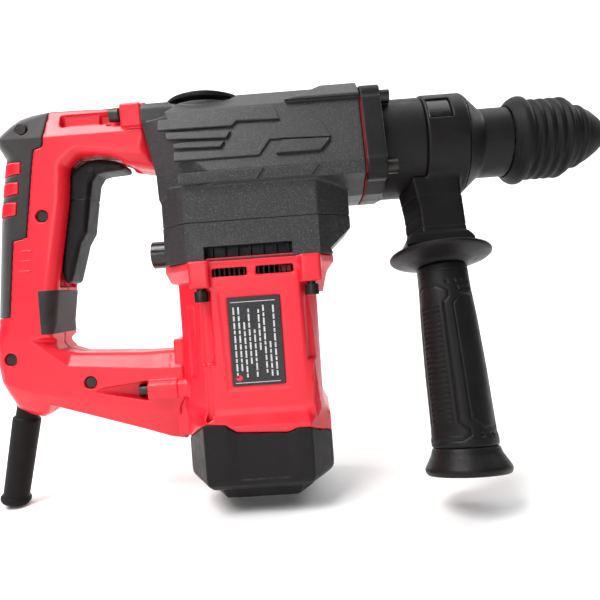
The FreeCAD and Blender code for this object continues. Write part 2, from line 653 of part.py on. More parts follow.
def gear_train():
    low, high = value("gear_bottom"), value("gear_top")
    shaft, crank, lay = value("shaft"), value("crank_shaft"), value("layshaft")
    spur_gear("armature_shaft", PINION_TEETH, "0", GEAR_PLAY, 0.9, -1.25, 0.0,
              [(2.7, low, high), (shaft, 27.0, low)])
    spur_gear("crank_gear", CRANK_TEETH, "crank_x", GEAR_PLAY, 0.75, -1.3, math.pi / CRANK_TEETH,
              [(crank, 171.5, 207.0), (9.0, high, 192.8)])
    web = round_part("18", "8", ("crank_x", "0", "207"))
    throw = round_part("4", "9", ("crank_x - crank_throw", "0", "215"))
    joined([web, throw], "crank_web")
    half_pitch = math.pi / LAYSHAFT_TEETH
    spur_gear("intermediate_gear", LAYSHAFT_TEETH, "layshaft_x", GEAR_PLAY, 0.75, -1.3, math.pi + half_pitch,
              [(lay, 171.5, 199.6)])
    module = value("bevel_module")
    cone = math.atan2(BEVEL_TEETH, RING_TEETH)
    pinion = None
    for i in range(BEVEL_TEETH):
        tooth = bevel_tooth(BEVEL_TEETH, module, cone, 0.85, -1.3, GEAR_PLAY, BEVEL_SCALE)
        tooth.rotate(Vector(), Vector(0, 0, 1), 360.0 * i / BEVEL_TEETH)
        pinion = tooth if pinion is None else pinion.fuse(tooth)
    back = RING_TEETH * module / 2.0
    root_radius = BEVEL_TEETH * module / 2.0 - 1.2 * module
    core = Part.makeCone(root_radius * BEVEL_SCALE, root_radius, back * (1 - BEVEL_SCALE),
                         Vector(0, 0, back * BEVEL_SCALE))
    pinion = pinion.fuse(core)
    pinion.rotate(Vector(), Vector(1, 0, 0), 180.0)
    feature("bevel_pinion", pinion.removeSplitter(), x="layshaft_x", z="spindle_z")
    wheel_cone = math.pi / 2 - cone
    slant = back / math.sin(wheel_cone)
    depth = 1.25 * module
    blank = [(back - depth * math.cos(wheel_cone), slant * math.cos(wheel_cone) + depth * math.sin(wheel_cone))]
    blank.insert(0, (blank[0][0] * BEVEL_SCALE, blank[0][1] * BEVEL_SCALE))
    bore = value("cylinder_outer") + 0.03
    profile = [(bore, blank[0][1]), blank[0], blank[1], (blank[1][0], 14.0), (22.0, 18.0), (bore, 18.0)]
    face = Part.Face(Part.makePolygon([Vector(r, 0, z) for r, z in profile + profile[:1]]))
    wheel = face.revolve(Vector(), Vector(0, 0, 1), 360.0)
    for i in range(RING_TEETH):
        tooth = bevel_tooth(RING_TEETH, module, wheel_cone, 0.7, -1.3, GEAR_PLAY, BEVEL_SCALE)
        tooth.rotate(Vector(), Vector(0, 0, 1), 360.0 * (i + 0.5) / RING_TEETH)
        wheel = wheel.fuse(tooth)
    wheel.rotate(Vector(), Vector(0, 1, 0), 90.0)
    feature("ring_gear", wheel.removeSplitter(), x="layshaft_x", z="spindle_z")
    carrier = plate(base_plan("wall + 1"), "plate_low", "plate_high", "XY")
    cuts = joined([round_part("crank_shaft + running", "20", ("crank_x", "0", "185")),
                   round_part("layshaft + running", "20", ("layshaft_x", "0", "185"))])
    without(carrier, cuts, "bearing_plate")


# ---------------------------------------------------------------- hammer mechanism

def hammer_mechanism():
    turned_on_spindle("cylinder", swapped(tube("cylinder_bore", "cylinder_outer", "cylinder_back", "cylinder_front")))
    turned_on_spindle("rear_bearing", swapped(tube("cylinder_outer + running", "cover_bore - 0.02", "81", "93")))
    turned_on_spindle("front_bearing", swapped(tube("holder_mid + running", "cover_bore - 0.02", "124", "136")))
    turned_on_spindle("oil_seal", swapped(tube("holder_outer + 0.1", "seal_bore - 0.05", "166", "173")))
    holder = [("cylinder_front + 0.2", "impact_bore"), ("cylinder_front + 0.2", "holder_root"),
              ("118", "holder_root"), ("118", "holder_mid"), ("150", "holder_mid"), ("150", "holder_outer"),
              ("177.5", "holder_outer"), ("177.5", "18"), ("179.5", "18"), ("179.5", "holder_outer"),
              ("holder_front", "holder_outer"), ("holder_front", "shank_bore"),
              ("shank_end", "shank_bore"), ("shank_end", "nose_bore"),
              ("impact_stop", "nose_bore"), ("impact_stop", "impact_bore")]
    body = turned_on_spindle("tool_holder", holder)
    ball_holes = ring(sketch(body, "XY_Plane"), "ball_x", "0", "3.45")
    pocket(body, ball_holes, "40", side="Symmetric")
    balls = []
    for sign in (1, -1):
        ball = doc.addObject("Part::Sphere", "ball")
        ball.Radius = 3.4
        bind(ball, "Placement.Base.x", "ball_x")
        bind(ball, "Placement.Base.z", f"spindle_z + {sign} * (shank_bore + 3.6)")
        balls.append(ball)
    group(balls, "locking_balls")
    blank = turned_on_spindle("piston_blank", [("6", "0"), ("6", "cylinder_bore - running"),
                                               ("34", "cylinder_bore - running"), ("34", "0")])
    slot = block(("4", "-9.5", "spindle_z - 4.2"), ("24", "9.5", "spindle_z + 4.2"))
    wrist = round_part("3.03", "40", ("pin_x", "0", "spindle_z - 20"))
    without(without(blank, slot), wrist, "piston")
    pin_part = round_part("3", "24", ("pin_x", "0", "spindle_z - 12"))
    pin_part.Label = "wrist_pin"
    big = round_part("8", "7", ("pin_x - rod_length", "0", "spindle_z - 3.5"))
    small = round_part("6.5", "7", ("pin_x", "0", "spindle_z - 3.5"))
    bar = block(("pin_x - rod_length", "-3.5", "spindle_z - 3.5"), ("pin_x", "3.5", "spindle_z + 3.5"))
    eyes = joined([round_part("4.2", "20", ("pin_x - rod_length", "0", "spindle_z - 10")),
                   round_part("3.05", "20", ("pin_x", "0", "spindle_z - 10"))])
    without(joined([big, small, bar]), eyes, "connecting_rod")
    turned_on_spindle("striker", [("62", "0"), ("62", "cylinder_bore - running"), ("87", "cylinder_bore - running"),
                                  ("88", "7.5"), ("95.8", "7.5"), ("95.8", "0")])
    turned_on_spindle("impact_bolt", [("104", "0"), ("104", "impact_bore - running"),
                                      ("125", "impact_bore - running"), ("128", "nose_bore - running"),
                                      ("157", "nose_bore - running"), ("160", "3"), ("160", "0")])


def chuck():
    pitch = 6.1
    rib_start = 189.0
    profile = [("sleeve_back", "nose + 0.4"), ("sleeve_back", "24.2"), ("182", "sleeve_flange"),
               ("186", "sleeve_flange"), ("188", "sleeve - 1.6")]
    for i in range(4):
        x = rib_start + pitch * i
        profile += [(str(x + 1.0), "sleeve - 1.6"), (str(x + 2.4), "sleeve"), (str(x + 4.4), "sleeve"),
                    (str(x + 5.6), "sleeve - 1.6")]
    profile += [("sleeve_front", "sleeve - 2"), ("sleeve_front", "holder_outer + 0.1"),
                ("209", "holder_outer + 0.1"), ("209", "20"), ("187", "20"), ("187", "nose + 0.4")]
    turned_on_spindle("chuck_sleeve", profile)
    nose = [("215.6", "holder_outer + 0.1"), ("215.6", "21.6"), ("223", "21.5"), ("224", "20"), ("229", "18"),
            ("236", "12"), ("239", "9"), ("cap_tip", "7"), ("cap_tip", "shank_bore + 0.7"),
            ("holder_front + 0.3", "shank_bore + 0.7"), ("holder_front + 0.3", "holder_outer + 0.1")]
    turned_on_spindle("nose_cap", nose)
    coil_radius, wire, turns = 16.4, 0.9, 6
    low, high = 180.6, 207.9
    path = Part.makeHelix((high - low) / turns, high - low, coil_radius)
    start = Part.Wire(Part.makeCircle(wire, Vector(coil_radius, 0, 0), Vector(0, 1, 0)))
    spring = Part.Wire(path).makePipeShell([start], True, True)
    spring.rotate(Vector(), Vector(0, 1, 0), 90.0)
    spring.translate(Vector(low, 0, 0))
    feature("sleeve_spring", spring, z="spindle_z")


# ---------------------------------------------------------------- selector knobs

def knobs():
    disc = round_part("knob_boss - 0.6", "3", ("crank_x", "0", "roof - 2.8"))
    dome = round_part("knob_boss - 4", "1.5", ("crank_x", "0", "roof + 0.2"))
    stem = round_part("5.95", "8", ("crank_x", "0", "roof - 10"))
    bar = block(("crank_x - 17", "-5", "roof + 0.2"), ("crank_x + 17", "5", "roof + 4.4"))
    joined([disc, dome, stem, bar], "mode_knob")
    collar = round_part("9.3", "4", ("base_back - 4.3", "0", "base_bottom + knob_rise"), (1, 0, 0))
    head = round_part("9.2", "11.5", ("base_back - 15", "0", "base_bottom + knob_rise"), (1, 0, 0))
    spigot = round_part("3.95", "6", ("base_back - 0.5", "0", "base_bottom + knob_rise"), (1, 0, 0))
    joined([collar, head, spigot], "rear_knob")


# ---------------------------------------------------------------- rear handle

HANDLE_OUTLINE = [("housing_back - 0.1", "roof + 4.8"), ("-82", "roof + 5.2"), ("-91", "roof + 2.4"),
                  ("-149", "roof + 2.2"), ("-158", "roof - 4"), ("-163", "roof - 14"), ("-160.5", "243"),
                  ("-166.5", "214"), ("-174.8", "132"), ("-176", "101"), ("-173", "66"), ("-148", "64.5"),
                  ("-111", "65"), ("-77", "52.6"), ("-60", "46"), ("-49.2", "44"), ("-49.2", "68"), ("-45.6", "74"),
                  ("-45.6", "114"), ("-52", "104.6"), ("-73", "104.4"), ("-118", "107"), ("-127", "114"),
                  ("-126", "122"), ("-120.5", "154"), ("-112", "208"), ("-109.5", "229"), ("-103", "237"),
                  ("-88", "235.5"), ("-76", "229"), ("-53.3", "223.6"), ("housing_back - 0.1", "247")]
RUBBER_ZONE = [("-122.5", "290"), ("-127", "243"), ("-133", "241"), ("-135", "230"), ("-142", "185"),
               ("-151", "183"), ("-157", "134"), ("-190", "132"), ("-190", "290")]
TRIGGER_OUTLINE = [("-97.5", "227"), ("-104.9", "186"), ("-108.7", "180"), ("-116.3", "156"), ("-119", "154"),
                   ("-125.5", "157"), ("-119.5", "208"), ("-114", "226.5"), ("-106.5", "232.5"),
                   ("-98", "233.4"), ("-84", "231"), ("-77.8", "228")]
TRIGGER_SLOT = [("-90", "150.5"), ("-136", "150.5"), ("-130", "208"), ("-118", "232"), ("-106.5", "234.5"),
                ("-98", "235"), ("-86", "234"), ("-70", "226"), ("-80", "180")]


def offset_plate(points, inset, low, high):
    """A prism whose outline is the given one drawn in by an inset."""
    drawn = doc.addObject("Sketcher::SketchObject", "outline")
    outline(drawn, points)
    drawn.Placement.Rotation = FreeCAD.Rotation(Vector(1, 0, 0), 90)
    inner = doc.addObject("Part::Offset2D", "inset")
    inner.Source = drawn
    bind(inner, "Value", f"-({inset})")
    inner.Join = "Intersection"
    item = doc.addObject("Part::Extrusion", "prism")
    item.Base = inner
    item.Solid = True
    item.DirMode = "Custom"
    item.Dir = Vector(0, 1, 0)
    bind(item, "LengthFwd", high)
    bind(item, "LengthRev", f"-({low})")
    return item


GUARD_LEAN = (-0.222, 0, -1)
SEAM_SPOTS = [("-130.8", "198"), ("-158.8", "106"), ("-107.5", "87.6"), ("-141", "255.6")]


def rimmed_half(points, side):
    """Half of a handle: a plain layer at the middle plane and a tapered one that bevels the outer rim."""
    bevel_start = "grip_half - handle_chamfer"
    if side > 0:
        inner = offset_plate(points, "0.01", "0.05", bevel_start)
    else:
        inner = offset_plate(points, "0.01", f"-({bevel_start})", "-0.05")
    outer = offset_plate(points, "0.01", "0", "handle_chamfer")
    outer.Dir = Vector(0, side, 0)
    outer.TaperAngle = -38.0
    bind(outer, "Placement.Base.y", f"{side} * ({bevel_start})")
    return joined([inner, outer])


def handle_halves():
    """Two shells that meet on the middle plane, each with its own moulded-on rubber at the back."""
    for side, name in ((-1, "right"), (1, "left")):
        full = rimmed_half(HANDLE_OUTLINE, side)
        low, high = ("0", "grip_half - skin") if side > 0 else ("-grip_half + skin", "0")
        core = offset_plate(HANDLE_OUTLINE, "skin", low, high)
        skin = shared(plate(RUBBER_ZONE, "-30", "30"), without(full, core))
        top_x, top_z = SEAM_SPOTS[-1]
        without(skin, round_part("3.8", "30", (top_x, "-grip_half + 4.1", top_z), (0, -1, 0)),
                "rear_grip_rubber_" + name)
        low, high = ("0", "grip_half - 6") if side > 0 else ("-grip_half + 6", "0")
        hollow = offset_plate(HANDLE_OUTLINE, "6", low, high)
        slot = plate(TRIGGER_SLOT, "-trigger_half - 0.5", "trigger_half + 0.5")
        tools = [hollow, slot, round_part("handle_hole", "75", ("-130", f"{side} * 17", "roof - 8"), (1, 0, 0)),
                 round_part("bolt_head + 0.4", "44", ("-119.5", f"{side} * 17", "roof - 8"), (1, 0, 0)),
                 round_part("handle_hole", "30", ("-75", f"{side} * 14", "79.5"), (1, 0, 0)),
                 round_part("bolt_head + 0.4", "34", ("-104", f"{side} * 14", "79.5"), (1, 0, 0)),
                 round_part("guard_outer - 1.4", "29", ("guard_x + 0.222 * 6", "0", "guard_z + 6"), GUARD_LEAN)]
        boss = shared(round_part("6.5", "15.4", ("-75.5", f"{side} * 17", "roof - 8"), (1, 0, 0)), full)
        for x, z in SEAM_SPOTS:
            tools.append(round_part("1.7", "60", (x, "-30", z), (0, 1, 0)))
            tools.append(round_part("3.8", "20", (x, "-grip_half + 4.1", z), (0, -1, 0)))
        tool = joined(tools[:2])
        shell = joined([without(without(full, skin), tool), boss])
        without(shell, joined(tools[2:]), "handle_shell_" + name)


def handle_parts():
    blank = plate(TRIGGER_OUTLINE, "-trigger_half", "trigger_half")
    hole = round_part("2.05", "40", ("pivot_x", "-20", "pivot_z"), (0, 1, 0))
    without(blank, hole, "trigger")
    pivot = round_part("2", "2 * trigger_half + 0.9", ("pivot_x", "-trigger_half - 0.45", "pivot_z"), (0, 1, 0))
    pivot.Label = "trigger_pin"
    case = block(("-154", "-11", "168"), ("-137", "11", "206"))
    case.Label = "switch_body"
    pads = [plate([("-143", "149.5"), ("-126", "149.5"), ("-131", "121"), ("-145", "122.5")],
                  low, high) for low, high in (("-grip_half - 0.6", "-grip_half"), ("grip_half", "grip_half + 0.6"))]
    group(pads, "grip_pads")
    upper = [socket_screw("-75.6", f"{sign} * 17", "roof - 8", (-1, 0, 0), 28) for sign in (1, -1)]
    lower = [socket_screw("-70.2", f"{sign} * 14", "79.5", (-1, 0, 0), 24) for sign in (1, -1)]
    group(upper + lower, "handle_screws")
    seams = []
    for x, z in SEAM_SPOTS:
        head = round_part("3.6", "2.6", (x, "-grip_half + 4", z), (0, -1, 0))
        seams.append(joined([head, round_part("1.6", "24", (x, "-grip_half + 4", z), (0, 1, 0))]))
    group(seams, "shell_screws")
    clamp = without(block(("-162", "-9", "84"), ("-144", "9", "92")),
                    round_part("guard_bore", "20", ("-156", "0", "80"), (-0.21, 0, 1)))
    clamp.Label = "cable_clamp"
    cord_guard()


def cord_guard():
    """The bend-relief sleeve that leaves the handle downwards and a little to the back."""
    body = new_body("cord_guard", x="guard_x", z="guard_z")
    revolve(body, [("guard_bore", "-73.5"), ("8.2", "-73.5"), ("guard_outer + 0.8", "-71"),
                   ("guard_outer + 0.8", "-69"), ("8.3", "-67.5"), ("guard_outer", "-14"), ("guard_outer - 1.5", "-13"),
                   ("guard_outer - 1.5", "3"), ("guard_bore", "3")], "V_Axis")
    body.Placement.Rotation = FreeCAD.Rotation(Vector(0, 0, -1), Vector(*GUARD_LEAN))


# ---------------------------------------------------------------- auxiliary handle

def swung(body):
    """Places an upright piece, drawn below the spindle axis, at the swing of the auxiliary handle."""
    turn = FreeCAD.Rotation(Vector(1, 0, 0), -value("aux_swing"))
    old = body.Placement
    move = FreeCAD.Placement(Vector(value("aux_x"), 0, value("spindle_z")), turn)
    body.setExpression("Placement.Base.x", None)
    body.setExpression("Placement.Base.z", None)
    body.Placement = move.multiply(old)
    return body


def auxiliary_handle():
    # the clamp: a ring round the neck, with a block below it
    ring_low, ring_high = "collar_back + 0.6 - aux_x", "collar_front - 1.2 - aux_x"
    outer = round_part("collar_radius", f"{ring_high} - ({ring_low})", (ring_low, "0", "0"), (1, 0, 0))
    neck = block(("-18.5", "-17", "-72"), ("18.5", "17", "-24"))
    foot = block(("-22.7", "-19", "-74.5"), ("22.7", "19", "-66"))
    clear = round_part("barrel + 0.6", "60", ("-60 + collar_back + 0.6 - aux_x", "0", "0"), (1, 0, 0))
    bore = round_part("neck + 1.9", "90", ("-45", "0", "0"), (1, 0, 0))
    stud_hole = joined([round_part("4.1", "60", ("0", "0", "-90")), round_part("7.2", "9", ("0", "0", "-37.2"))])
    window = block((ring_low + " + 5", "-25", "12"), (ring_high + " - 6", "-4", "40"))
    clamp = without(joined([outer, neck, foot]), joined([clear, bore, stud_hole, window]), "aux_clamp")
    swung(clamp)
    band_outer = round_part("neck + 1.7", "16", ("collar_back + 4.6 - aux_x", "0", "0"), (1, 0, 0))
    band_inner = round_part("neck + fit_gap", "30", ("collar_back - aux_x", "0", "0"), (1, 0, 0))
    swung(without(band_outer, band_inner, "clamp_band"))
    stud = joined([round_part("4", "130", ("0", "0", "-160")),
                   round_part("7", "4.2", ("0", "0", "-37"))])
    swung(stud)
    stud.Label = "aux_stud"
    disc = [("4.1", "-aux_disc + 2"), ("24", "-aux_disc + 2"), ("aux_disc_radius", "-aux_disc + 0.5"),
            ("aux_disc_radius", "-aux_disc - 2"), ("24", "-aux_disc - 5"), ("aux_stem + 2", "-aux_disc - 8"),
            ("4.1", "-aux_disc - 8")]
    grip = [("4.1", "-aux_disc - 8.2"), ("aux_stem", "-aux_disc - 8.2"), ("aux_stem + 0.4", "-100"),
            ("aux_stem + 1.6", "-120"), ("aux_stem + 2.7", "-152"), ("aux_stem + 3", "-180.5"),
            ("aux_stem + 3.5", "-194.5"), ("4.1", "-194.5")]
    butt = [("0.5", "-194.7"), ("aux_stem + 3.6", "-194.7"), ("21.5", "-199.7"), ("25", "-204.7"), ("25", "-208.2"),
            ("23", "-aux_end"), ("0.5", "-aux_end")]
    for label, points in (("aux_flange", disc), ("aux_grip", grip), ("aux_butt", butt)):
        body = new_body(label)
        revolve(body, points, "V_Axis")
        swung(body)


NODES = [
    "gear_housing", "gearbox_base", "front_gasket", "front_cover", "front_cover_screws", "motor_housing",
    "motor_cap", "motor_housing_screws", "rating_plate", "fan", "field_core", "field_coils", "armature_core",
    "armature_windings", "commutator", "armature_bearings", "bearing_bracket", "brushes",
    "brush_holders", "armature_shaft", "crank_gear", "crank_web", "intermediate_gear", "bevel_pinion",
    "ring_gear", "bearing_plate", "cylinder", "rear_bearing", "front_bearing", "oil_seal", "tool_holder",
    "locking_balls", "piston", "wrist_pin", "connecting_rod", "striker", "impact_bolt", "chuck_sleeve",
    "nose_cap", "sleeve_spring", "mode_knob", "rear_knob", "handle_shell_right",
    "handle_shell_left", "rear_grip_rubber_right", "rear_grip_rubber_left", "trigger", "trigger_pin",
    "switch_body", "grip_pads", "handle_screws", "shell_screws", "cable_clamp",
    "cord_guard", "aux_clamp", "clamp_band", "aux_stud", "aux_flange", "aux_grip", "aux_butt",
]


def build():
    gear_housing()
    gearbox_base()
    front_gasket()
    front_cover()
    flange_screws()
    motor_housing()
    motor_cap()
    motor_screws()
    rating_plate()
    fan()
    motor_parts()
    gear_train()
    hammer_mechanism()
    chuck()
    knobs()
    handle_halves()
    handle_parts()
    auxiliary_handle()


def check_and_write():
    doc.recompute()
    for item in doc.Objects:
        if "Invalid" in item.State or "Error" in item.State:
            raise ValueError(item.Name + " failed: " + str(item.State))
    os.makedirs("parts", exist_ok=True)
    for label in NODES:
        shape = doc.getObjectsByLabel(label)[0].Shape.translated(Vector(0, 0, -value("foot_z")))
        if shape.isNull() or not shape.isValid():
            raise ValueError(label + " has no valid shape")
        shape.exportStep(f"parts/{label}.step")


build()
check_and_write()
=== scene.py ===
import math

import bmesh
import bpy
import numpy as np
from mathutils import Matrix, Vector


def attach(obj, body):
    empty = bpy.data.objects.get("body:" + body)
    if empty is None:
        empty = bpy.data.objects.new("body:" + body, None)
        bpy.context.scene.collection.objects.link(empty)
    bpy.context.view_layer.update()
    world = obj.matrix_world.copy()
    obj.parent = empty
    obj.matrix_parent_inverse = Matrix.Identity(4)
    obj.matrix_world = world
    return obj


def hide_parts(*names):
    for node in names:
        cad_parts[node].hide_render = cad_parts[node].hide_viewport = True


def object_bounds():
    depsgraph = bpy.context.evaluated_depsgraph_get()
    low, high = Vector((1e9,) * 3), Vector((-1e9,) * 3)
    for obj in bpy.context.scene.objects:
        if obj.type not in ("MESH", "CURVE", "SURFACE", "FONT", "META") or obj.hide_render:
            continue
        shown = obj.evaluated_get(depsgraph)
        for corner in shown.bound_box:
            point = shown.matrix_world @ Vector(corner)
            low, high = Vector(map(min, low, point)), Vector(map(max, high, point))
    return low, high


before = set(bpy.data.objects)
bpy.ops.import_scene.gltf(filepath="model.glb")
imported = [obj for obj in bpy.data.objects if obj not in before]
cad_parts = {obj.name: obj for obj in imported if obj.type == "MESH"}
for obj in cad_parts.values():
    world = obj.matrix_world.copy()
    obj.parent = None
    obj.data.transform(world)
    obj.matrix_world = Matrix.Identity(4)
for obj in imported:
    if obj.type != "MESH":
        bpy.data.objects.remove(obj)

CAD_LOW, CAD_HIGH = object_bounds()
MM = 0.001
SPINDLE = 228.0                       # height of the spindle axis above the drawing datum, mm
FOOT = 10.0                           # the foot's height above the datum, mm; in the frame it is at zero
SWING = math.radians(14.8)            # swing of the side handle about the spindle
AUX_X = 124.2                         # the side handle's axis along the spindle, mm
WALL = 3.6                            # thickness of the cast housing, mm


# ---------------------------------------------------------------- materials

class Shader:
    """A Principled material with a few node shorthands; all patterns are in object space, in metres."""

    def __init__(self, name, colour, roughness, metallic=0.0, coat=0.0, specular=0.5):
        self.material = bpy.data.materials.new(name)
        self.material.use_nodes = True
        self.tree = self.material.node_tree
        self.surface = self.tree.nodes["Principled BSDF"]
        self.surface.inputs["Base Color"].default_value = (*colour, 1.0)
        self.surface.inputs["Roughness"].default_value = roughness
        self.surface.inputs["Metallic"].default_value = metallic
        self.surface.inputs["Coat Weight"].default_value = coat
        self.surface.inputs["Specular IOR Level"].default_value = specular
        self.place = self.tree.nodes.new("ShaderNodeTexCoord").outputs["Object"]

    def node(self, kind, **values):
        made = self.tree.nodes.new("ShaderNode" + kind)
        for key, value in values.items():
            if key in made.inputs:
                made.inputs[key].default_value = value
            else:
                setattr(made, key, value)
        return made

    def link(self, source, target):
        self.tree.links.new(source, target)

    def noise(self, scale, detail=3.0, roughness=0.6):
        made = self.node("TexNoise", Scale=scale, Detail=detail, Roughness=roughness)
        self.link(self.place, made.inputs["Vector"])
        return made.outputs["Fac"]

    def cells(self, scale):
        made = self.node("TexVoronoi", Scale=scale)
        self.link(self.place, made.inputs["Vector"])
        return made.outputs["Distance"]

    def ramp(self, source, low, high, a, b):
        """Maps source from low..high to a..b, clamped."""
        made = self.node("MapRange")
        made.inputs["From Min"].default_value = low
        made.inputs["From Max"].default_value = high
        made.inputs["To Min"].default_value = a
        made.inputs["To Max"].default_value = b
        self.link(source, made.inputs["Value"])
        return made.outputs["Result"]

    def mix(self, factor, first, second):
        made = self.tree.nodes.new("ShaderNodeMix")
        made.data_type = "RGBA"
        self.link(factor, made.inputs["Factor"])
        for socket, colour in ((made.inputs[6], first), (made.inputs[7], second)):
            if isinstance(colour, tuple):
                socket.default_value = (*colour, 1.0)
            else:
                self.link(colour, socket)
        return made.outputs[2]

    def worn_edges(self, sharp=0.02):
        """1 on convex edges, broken up by noise."""
        geometry = self.node("NewGeometry")
        edge = self.ramp(geometry.outputs["Pointiness"], 0.5 + sharp, 0.5 + sharp * 3, 0.0, 1.0)
        broken = self.ramp(self.noise(220.0), 0.42, 0.62, 0.0, 1.0)
        both = self.node("Math", operation="MULTIPLY")
        self.link(edge, both.inputs[0])
        self.link(broken, both.inputs[1])
        return both.outputs[0]

    def colour(self, source):
        self.link(source, self.surface.inputs["Base Color"])

    def rough(self, source):
        self.link(source, self.surface.inputs["Roughness"])

    def bump(self, *layers):
        """Layers of (height source, strength, distance in metres)."""
        previous = None
        for height, strength, distance in layers:
            made = self.node("Bump", Strength=strength, Distance=distance)
            self.link(height, made.inputs["Height"])
            if previous is not None:
                self.link(previous, made.inputs["Normal"])
            previous = made.outputs["Normal"]
        self.link(previous, self.surface.inputs["Normal"])


def textured_casting():
    """Black powder coat with a coarse grain over an aluminium casting; its sparkle is painted into the colour
    as bright specks, painted glints.
    """
    made = Shader("textured_casting", (0.02, 0.019, 0.0205), 0.46, specular=0.4)
    grain = made.noise(1500.0, 2.0, 0.7)
    # bright specks in the base colour: painted glints that stand for the coat's sparkle
    painted_glint_specks = made.ramp(made.noise(2600.0, 1.0), 0.62, 0.76, 0.0, 1.0)
    cloud = made.ramp(made.noise(14.0), 0.3, 0.7, 0.0, 1.0)
    base = made.mix(cloud, (0.017, 0.0162, 0.0172), (0.022, 0.021, 0.0224))
    coat_with_painted_glints = made.mix(painted_glint_specks, base, (0.19, 0.182, 0.188))
    made.colour(made.mix(made.worn_edges(0.045), coat_with_painted_glints, (0.055, 0.053, 0.054)))
    made.rough(made.ramp(grain, 0.3, 0.7, 0.38, 0.56))
    made.bump((grain, 0.6, 0.00035), (made.noise(600.0, 2.0), 0.25, 0.0003))
    return made.material


def red_plastic():
    """Satin red moulded plastic with a fine spark-eroded grain."""
    made = Shader("red_plastic", (0.72, 0.0085, 0.024), 0.38, coat=0.08, specular=0.42)
    cloud = made.ramp(made.noise(22.0), 0.3, 0.7, 0.0, 1.0)
    base = made.mix(cloud, (0.68, 0.0075, 0.021), (0.76, 0.0095, 0.027))
    made.colour(made.mix(made.worn_edges(0.05), base, (0.85, 0.035, 0.06)))
    grain = made.noise(1900.0, 2.0)
    made.rough(made.ramp(made.noise(60.0), 0.3, 0.7, 0.33, 0.44))
    made.bump((grain, 0.16, 0.0002), (made.noise(90.0), 0.03, 0.0006))
    return made.material


def black_plastic(name="black_plastic", roughness=0.42, base=0.0075, specular=0.16):
    """Black moulded plastic with a light leather grain."""
    made = Shader(name, (base, base * 0.94, base), roughness, specular=specular)
    cloud = made.ramp(made.noise(26.0), 0.3, 0.7, 0.0, 1.0)
    dark = made.mix(cloud, (base, base * 0.9, base * 0.97), (base * 1.4, base * 1.28, base * 1.35))
    made.colour(made.mix(made.worn_edges(0.045), dark, (base * 3, base * 2.7, base * 2.9)))
    grain = made.cells(1100.0)
    made.rough(made.ramp(made.noise(160.0), 0.3, 0.7, roughness - 0.06, roughness + 0.07))
    made.bump((grain, 0.22, 0.00025), (made.noise(2200.0, 1.0), 0.15, 0.0002))
    return made.material


def soft_rubber(name="soft_rubber", base=0.024, haze=0.5, specular=0.2):
    """Dull warm-black rubber with a powdery surface."""
    made = Shader(name, (base, base * 0.86, base * 0.88), 0.7, specular=specular)
    dust = made.ramp(made.noise(75.0, 5.0), 0.42, 0.72, 0.0, 1.0)
    base_mix = made.mix(dust, (base * 0.85, base * 0.72, base * 0.74), (base * 1.5, base * 1.3, base * 1.33))
    made.colour(made.mix(made.worn_edges(0.045), base_mix, (base * 2.2, base * 1.95, base * 2.0)))
    made.surface.inputs["Sheen Weight"].default_value = haze
    made.surface.inputs["Sheen Roughness"].default_value = 0.45
    made.rough(made.ramp(dust, 0.0, 1.0, 0.55, 0.75))
    made.bump((made.noise(1700.0, 2.0), 0.3, 0.00025), (made.noise(260.0), 0.08, 0.0004))
    return made.material


def gasket_red():
    """The thin pressed gasket's dull dark red."""
    made = Shader("gasket_red", (0.16, 0.006, 0.01), 0.7, specular=0.1)
    cloud = made.ramp(made.noise(120.0), 0.3, 0.7, 0.0, 1.0)
    made.colour(made.mix(cloud, (0.12, 0.005, 0.009), (0.20, 0.008, 0.013)))
    made.bump((made.noise(1500.0), 0.1, 0.0001))
    return made.material


def steel(name, colour, roughness, scratch=900.0):
    """Plated or ground steel with fine scratches and darker patches."""
    made = Shader(name, colour, roughness, metallic=1.0)
    patch = made.ramp(made.noise(120.0, 4.0), 0.35, 0.7, 0.0, 1.0)
    darker = tuple(c * 0.62 for c in colour)
    made.colour(made.mix(patch, colour, darker))
    fine = made.noise(scratch, 4.0)
    made.rough(made.ramp(fine, 0.3, 0.7, roughness * 0.7, roughness * 1.4))
    made.bump((fine, 0.18, 0.0001))
    return made.material


def printed_plate():
    """The rating plate's dark satin film."""
    made = Shader("printed_plate", (0.012, 0.012, 0.014), 0.3, coat=0.15, specular=0.35)
    cloud = made.ramp(made.noise(50.0), 0.3, 0.7, 0.0, 1.0)
    made.colour(made.mix(cloud, (0.010, 0.010, 0.012), (0.017, 0.016, 0.018)))
    made.rough(made.ramp(made.noise(700.0, 4.0), 0.3, 0.7, 0.24, 0.4))
    made.bump((made.noise(900.0), 0.05, 0.0001))
    return made.material


def print_ink(name, colour):
    made = Shader(name, colour, 0.5)
    faded = made.ramp(made.noise(900.0, 4.0), 0.35, 0.6, 0.0, 1.0)
    made.colour(made.mix(faded, tuple(c * 0.7 for c in colour), colour))
    made.bump((made.noise(2000.0), 0.05, 0.0001))
    return made.material


CASTING = textured_casting()
GASKET = gasket_red()
COVER = black_plastic("cover_black", 0.48, 0.0075, 0.2)
RED = red_plastic()
BLACK = black_plastic()
GLOSS = black_plastic("gloss_black", 0.22, 0.006, 0.45)
RUBBER = soft_rubber()
DARK_RUBBER = soft_rubber("dark_rubber", 0.0045, 0.02, 0.2)
PAD = soft_rubber("pad_rubber", 0.024, 0.3)
GUARD = soft_rubber("guard_rubber", 0.008, 0.05, 0.12)
ZINC = steel("zinc_screws", (0.46, 0.45, 0.43), 0.34)
DARK_STEEL = steel("blackened_steel", (0.055, 0.052, 0.05), 0.4)
STEEL = steel("ground_steel", (0.55, 0.55, 0.54), 0.28)
STRAP = steel("bright_strap", (0.62, 0.61, 0.60), 0.22, 1400.0)
COPPER = steel("copper", (0.75, 0.36, 0.19), 0.35)
PLATE = printed_plate()
INK = print_ink("pale_ink", (0.62, 0.62, 0.62))
RED_INK = print_ink("red_ink", (0.70, 0.02, 0.05))

